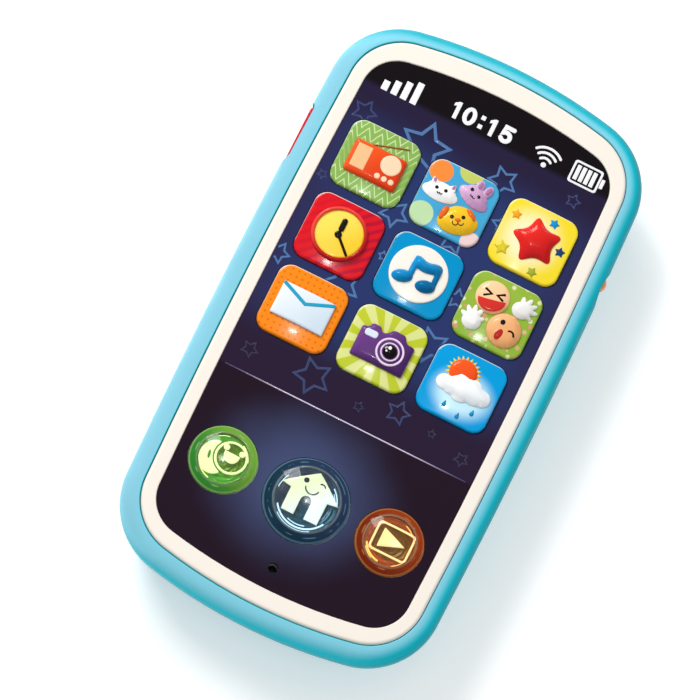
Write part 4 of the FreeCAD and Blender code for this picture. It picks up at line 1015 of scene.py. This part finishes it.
def contacts():
    dome = Dome("dome_contacts")
    dome.acrylic("green_clear", "E2F2C4", "3A9A3A", "8CC84A", "C8EC9C")
    dish = dome.paint("green_dish")
    tone = dish.mix(dish.radius(1.4, 1.0).ramp(3.0, 4.2), "56761E", "4E9C38")
    # The dish's glow is painted light, standing in for the lamps under the dome.
    dome.reflector(dish.finish(tone, roughness=0.25, coat=0.4, glow=0.25))
    # Painted light: the picture glows, as if lit from behind by the lamps under the dome.
    cream = plain("lit_cream", "FFFCE8", roughness=0.4, glow=0.45)
    back = crescent(ellipse(-2.0, -0.4, 3.4, 3.8), (1.4, 1.0), 4.0)
    dome.picture("back_face", [[back, ellipse(-3.2, -0.3, 0.3, 1.0, 12, 16)]], cream, spacing=0.5)
    ring = [[circle(1.4, 1.0, 3.7, 64), circle(1.4, 1.0, 3.15, 64)]]
    eyes = [[circle(-0.45, 2.75, 0.68, 20)], [circle(3.2, 2.75, 0.68, 20)]]
    smile = [[[(-0.5, 2.0), *arc(1.3, 1.5, 1.75, 182, 358, 16), (3.1, 2.0)]]]
    dome.picture("front_face", ring + eyes + smile, cream, spacing=0.4)
    dome.glints("F2FBB8", [(5.2, 195, 255, 0.3), (5.4, 20, 60, 0.28), (5.3, 100, 125, 0.2)])


def home():
    dome = Dome("dome_home")
    dome.acrylic("home_clear", "DCEEF4", "1E4056", "33486A", "84B4CC")
    dish = dome.paint("home_dish")
    tone = dish.mix((dish.x - dish.y + dish.noise(3.0) * 8 - 4).ramp(-6.0, 6.0), "2A3450", "165064")
    dome.reflector(dish.finish(tone, roughness=0.15, metal=0.3, coat=0.5))
    # Painted light: the house glows, and is a warmer yellow cream towards its upper left, as if lit from
    # behind by the lamps under the dome.
    cream = dome.shaded("lit_home", "FFF6C0", "FFFDF2", reach=6.0, roughness=0.4, glow=0.4)
    wall_x, low, eave = 4.3, -4.0, 1.5
    door = [(-1.3, low), (-1.3, -0.3), *arc(-0.1, -0.3, 1.2, 180, 0, 12)[1:], (1.1, low)]
    roof = [(wall_x, eave - 0.2), (5.4, eave), (6.9, eave + 0.3), (0.2, 7.0), (-6.7, eave + 0.3),
            (-5.4, eave), (-wall_x, eave - 0.2)]
    house = [(-wall_x, low), *door, (wall_x, low), *roof]
    dome.picture("house", [[house]], cream, spacing=0.5)
    dark = plain("home_marks", "1C2A30", roughness=0.4)
    face = [[circle(-1.9, 4.1, 0.6, 24)], [stroke(arc(1.75, 4.0, 0.75, 130, 20, 6), 0.32, 4)],
            [stroke(arc(0.0, 3.1, 1.55, 195, 345, 12), 0.3, 4)]]
    dome.picture("face", face, dark, thick=0.05, drop=0.06, spacing=0.3)
    dome.glints("DDF2FF", [(6.3, 212, 330, 0.36), (6.9, 228, 300, 0.22), (6.7, 18, 50, 0.28),
                           (6.2, 24, 40, 0.18), (6.8, 150, 178, 0.2), (5.6, 250, 290, 0.2)])


def video():
    dome = Dome("dome_video")
    dome.acrylic("orange_clear", "FFE4B8", "8E3012", "B54A20", "F0A860")
    dish = dome.paint("orange_dish")
    tone = dish.mix(dish.radius(0.5, 0.3, stretch=1.2).ramp(3.2, 4.6), "5E4412", "98401A")
    # The dish's glow is painted light, standing in for the lamps under the dome.
    dome.reflector(dish.finish(tone, roughness=0.25, coat=0.4, glow=0.2))
    # Painted light: the picture glows, as if lit from behind by the lamps under the dome.
    cream = plain("lit_video", "FFFAE0", roughness=0.4, glow=0.45)
    screen = [[rectangle(-3.9, 5.0, -3.1, 3.75, 1.0), rectangle(-3.4, 4.5, -2.6, 3.25, 0.7)]]
    play = [[rounded([(-2.2, -2.0), (3.5, 0.25), (-2.2, 2.5)], 0.3)]]
    dome.picture("screen", screen + play, cream, spacing=0.4)
    dome.glints("FFDC8A", [(4.9, 205, 262, 0.4), (5.3, 215, 245, 0.2), (5.2, 40, 70, 0.24),
                           (5.3, 300, 335, 0.22)])


# ---- studio ----
def area_light(name, place, size, power, mirrored=True):
    """Rectangular light that faces the middle of the scene; metres and watts."""
    lamp = bpy.data.lights.new(name, "AREA")
    lamp.shape = "RECTANGLE"
    lamp.size, lamp.size_y = size
    lamp.energy = power
    holder = new_object(name, lamp)
    holder.location = place
    holder.rotation_euler = (-Vector(place)).to_track_quat("-Z", "Y").to_euler()
    holder.visible_glossy = mirrored


def studio():
    """Pale floor, soft lights and an even sky that shiny surfaces hardly mirror."""
    floor = bpy.data.meshes.new("floor")
    half = 6.0
    corners = [(-half, -half, 0), (half, -half, 0), (half, half, 0), (-half, half, 0)]
    floor.from_pydata(corners, [], [(0, 1, 2, 3)])
    floor.materials.append(plain("floor", "F8F8F8", roughness=0.6, mottle=0.0, grain=0.0, specular=0.1,
                                glow=0.3))
    new_object("floor", floor)
    area_light("key_light", (-0.75, 0.45, 0.85), (0.5, 0.5), 8.6, mirrored=False)
    area_light("fill_light", (0.6, -0.5, 1.1), (0.8, 0.8), 2.2, mirrored=False)
    area_light("shine_light", (-0.6, 0.7, 0.75), (0.4, 0.4), 3.0)
    area_light("glint_light", (-0.05, 1.13, 5.9), (0.18, 0.07), 4.5)
    world = bpy.data.worlds.new("studio")
    bpy.context.scene.world = world
    world.use_nodes = True
    tree = world.node_tree
    sky = tree.nodes["Background"]
    put(sky.inputs["Color"], (1, 1, 1, 1))
    ray = tree.nodes.new("ShaderNodeLightPath")
    level = tree.nodes.new("ShaderNodeMix")
    put(level.inputs[0], ray.outputs["Is Glossy Ray"])
    sky_level, mirrored_level = 0.49, 0.05
    put(level.inputs[2], sky_level)
    put(level.inputs[3], mirrored_level)
    put(sky.inputs["Strength"], level.outputs[0])
    bpy.context.scene.view_settings.view_transform = "Standard"


def camera():
    """Looks down on the front from the round keys' end, turned a little, through a long lens."""
    tilt, roll = math.radians(17.18), math.radians(26.50)
    aside, above, far = -0.00549, 0.00332, 1.3529       # metres, along the camera's own axes
    turn = Matrix.Rotation(tilt, 4, "X") @ Matrix.Rotation(roll, 4, "Z")
    lens = bpy.data.cameras.new("camera")
    lens.lens, lens.sensor_width = 300, 36              # millimetres
    eye = new_object("camera", lens)
    eye.matrix_world = turn @ Matrix.Translation((aside, above, far))
    bpy.context.scene.camera = eye


case_finishes()
inner_finishes()
panel = Place("screen_panel", "case")
panel_finish(panel)
panel_print(panel)
status_bar(panel)
for picture in (radio, animals, star_key, clock, music, faces, mail, camera_key, weather,
                contacts, home, video):
    picture()
studio()
camera()
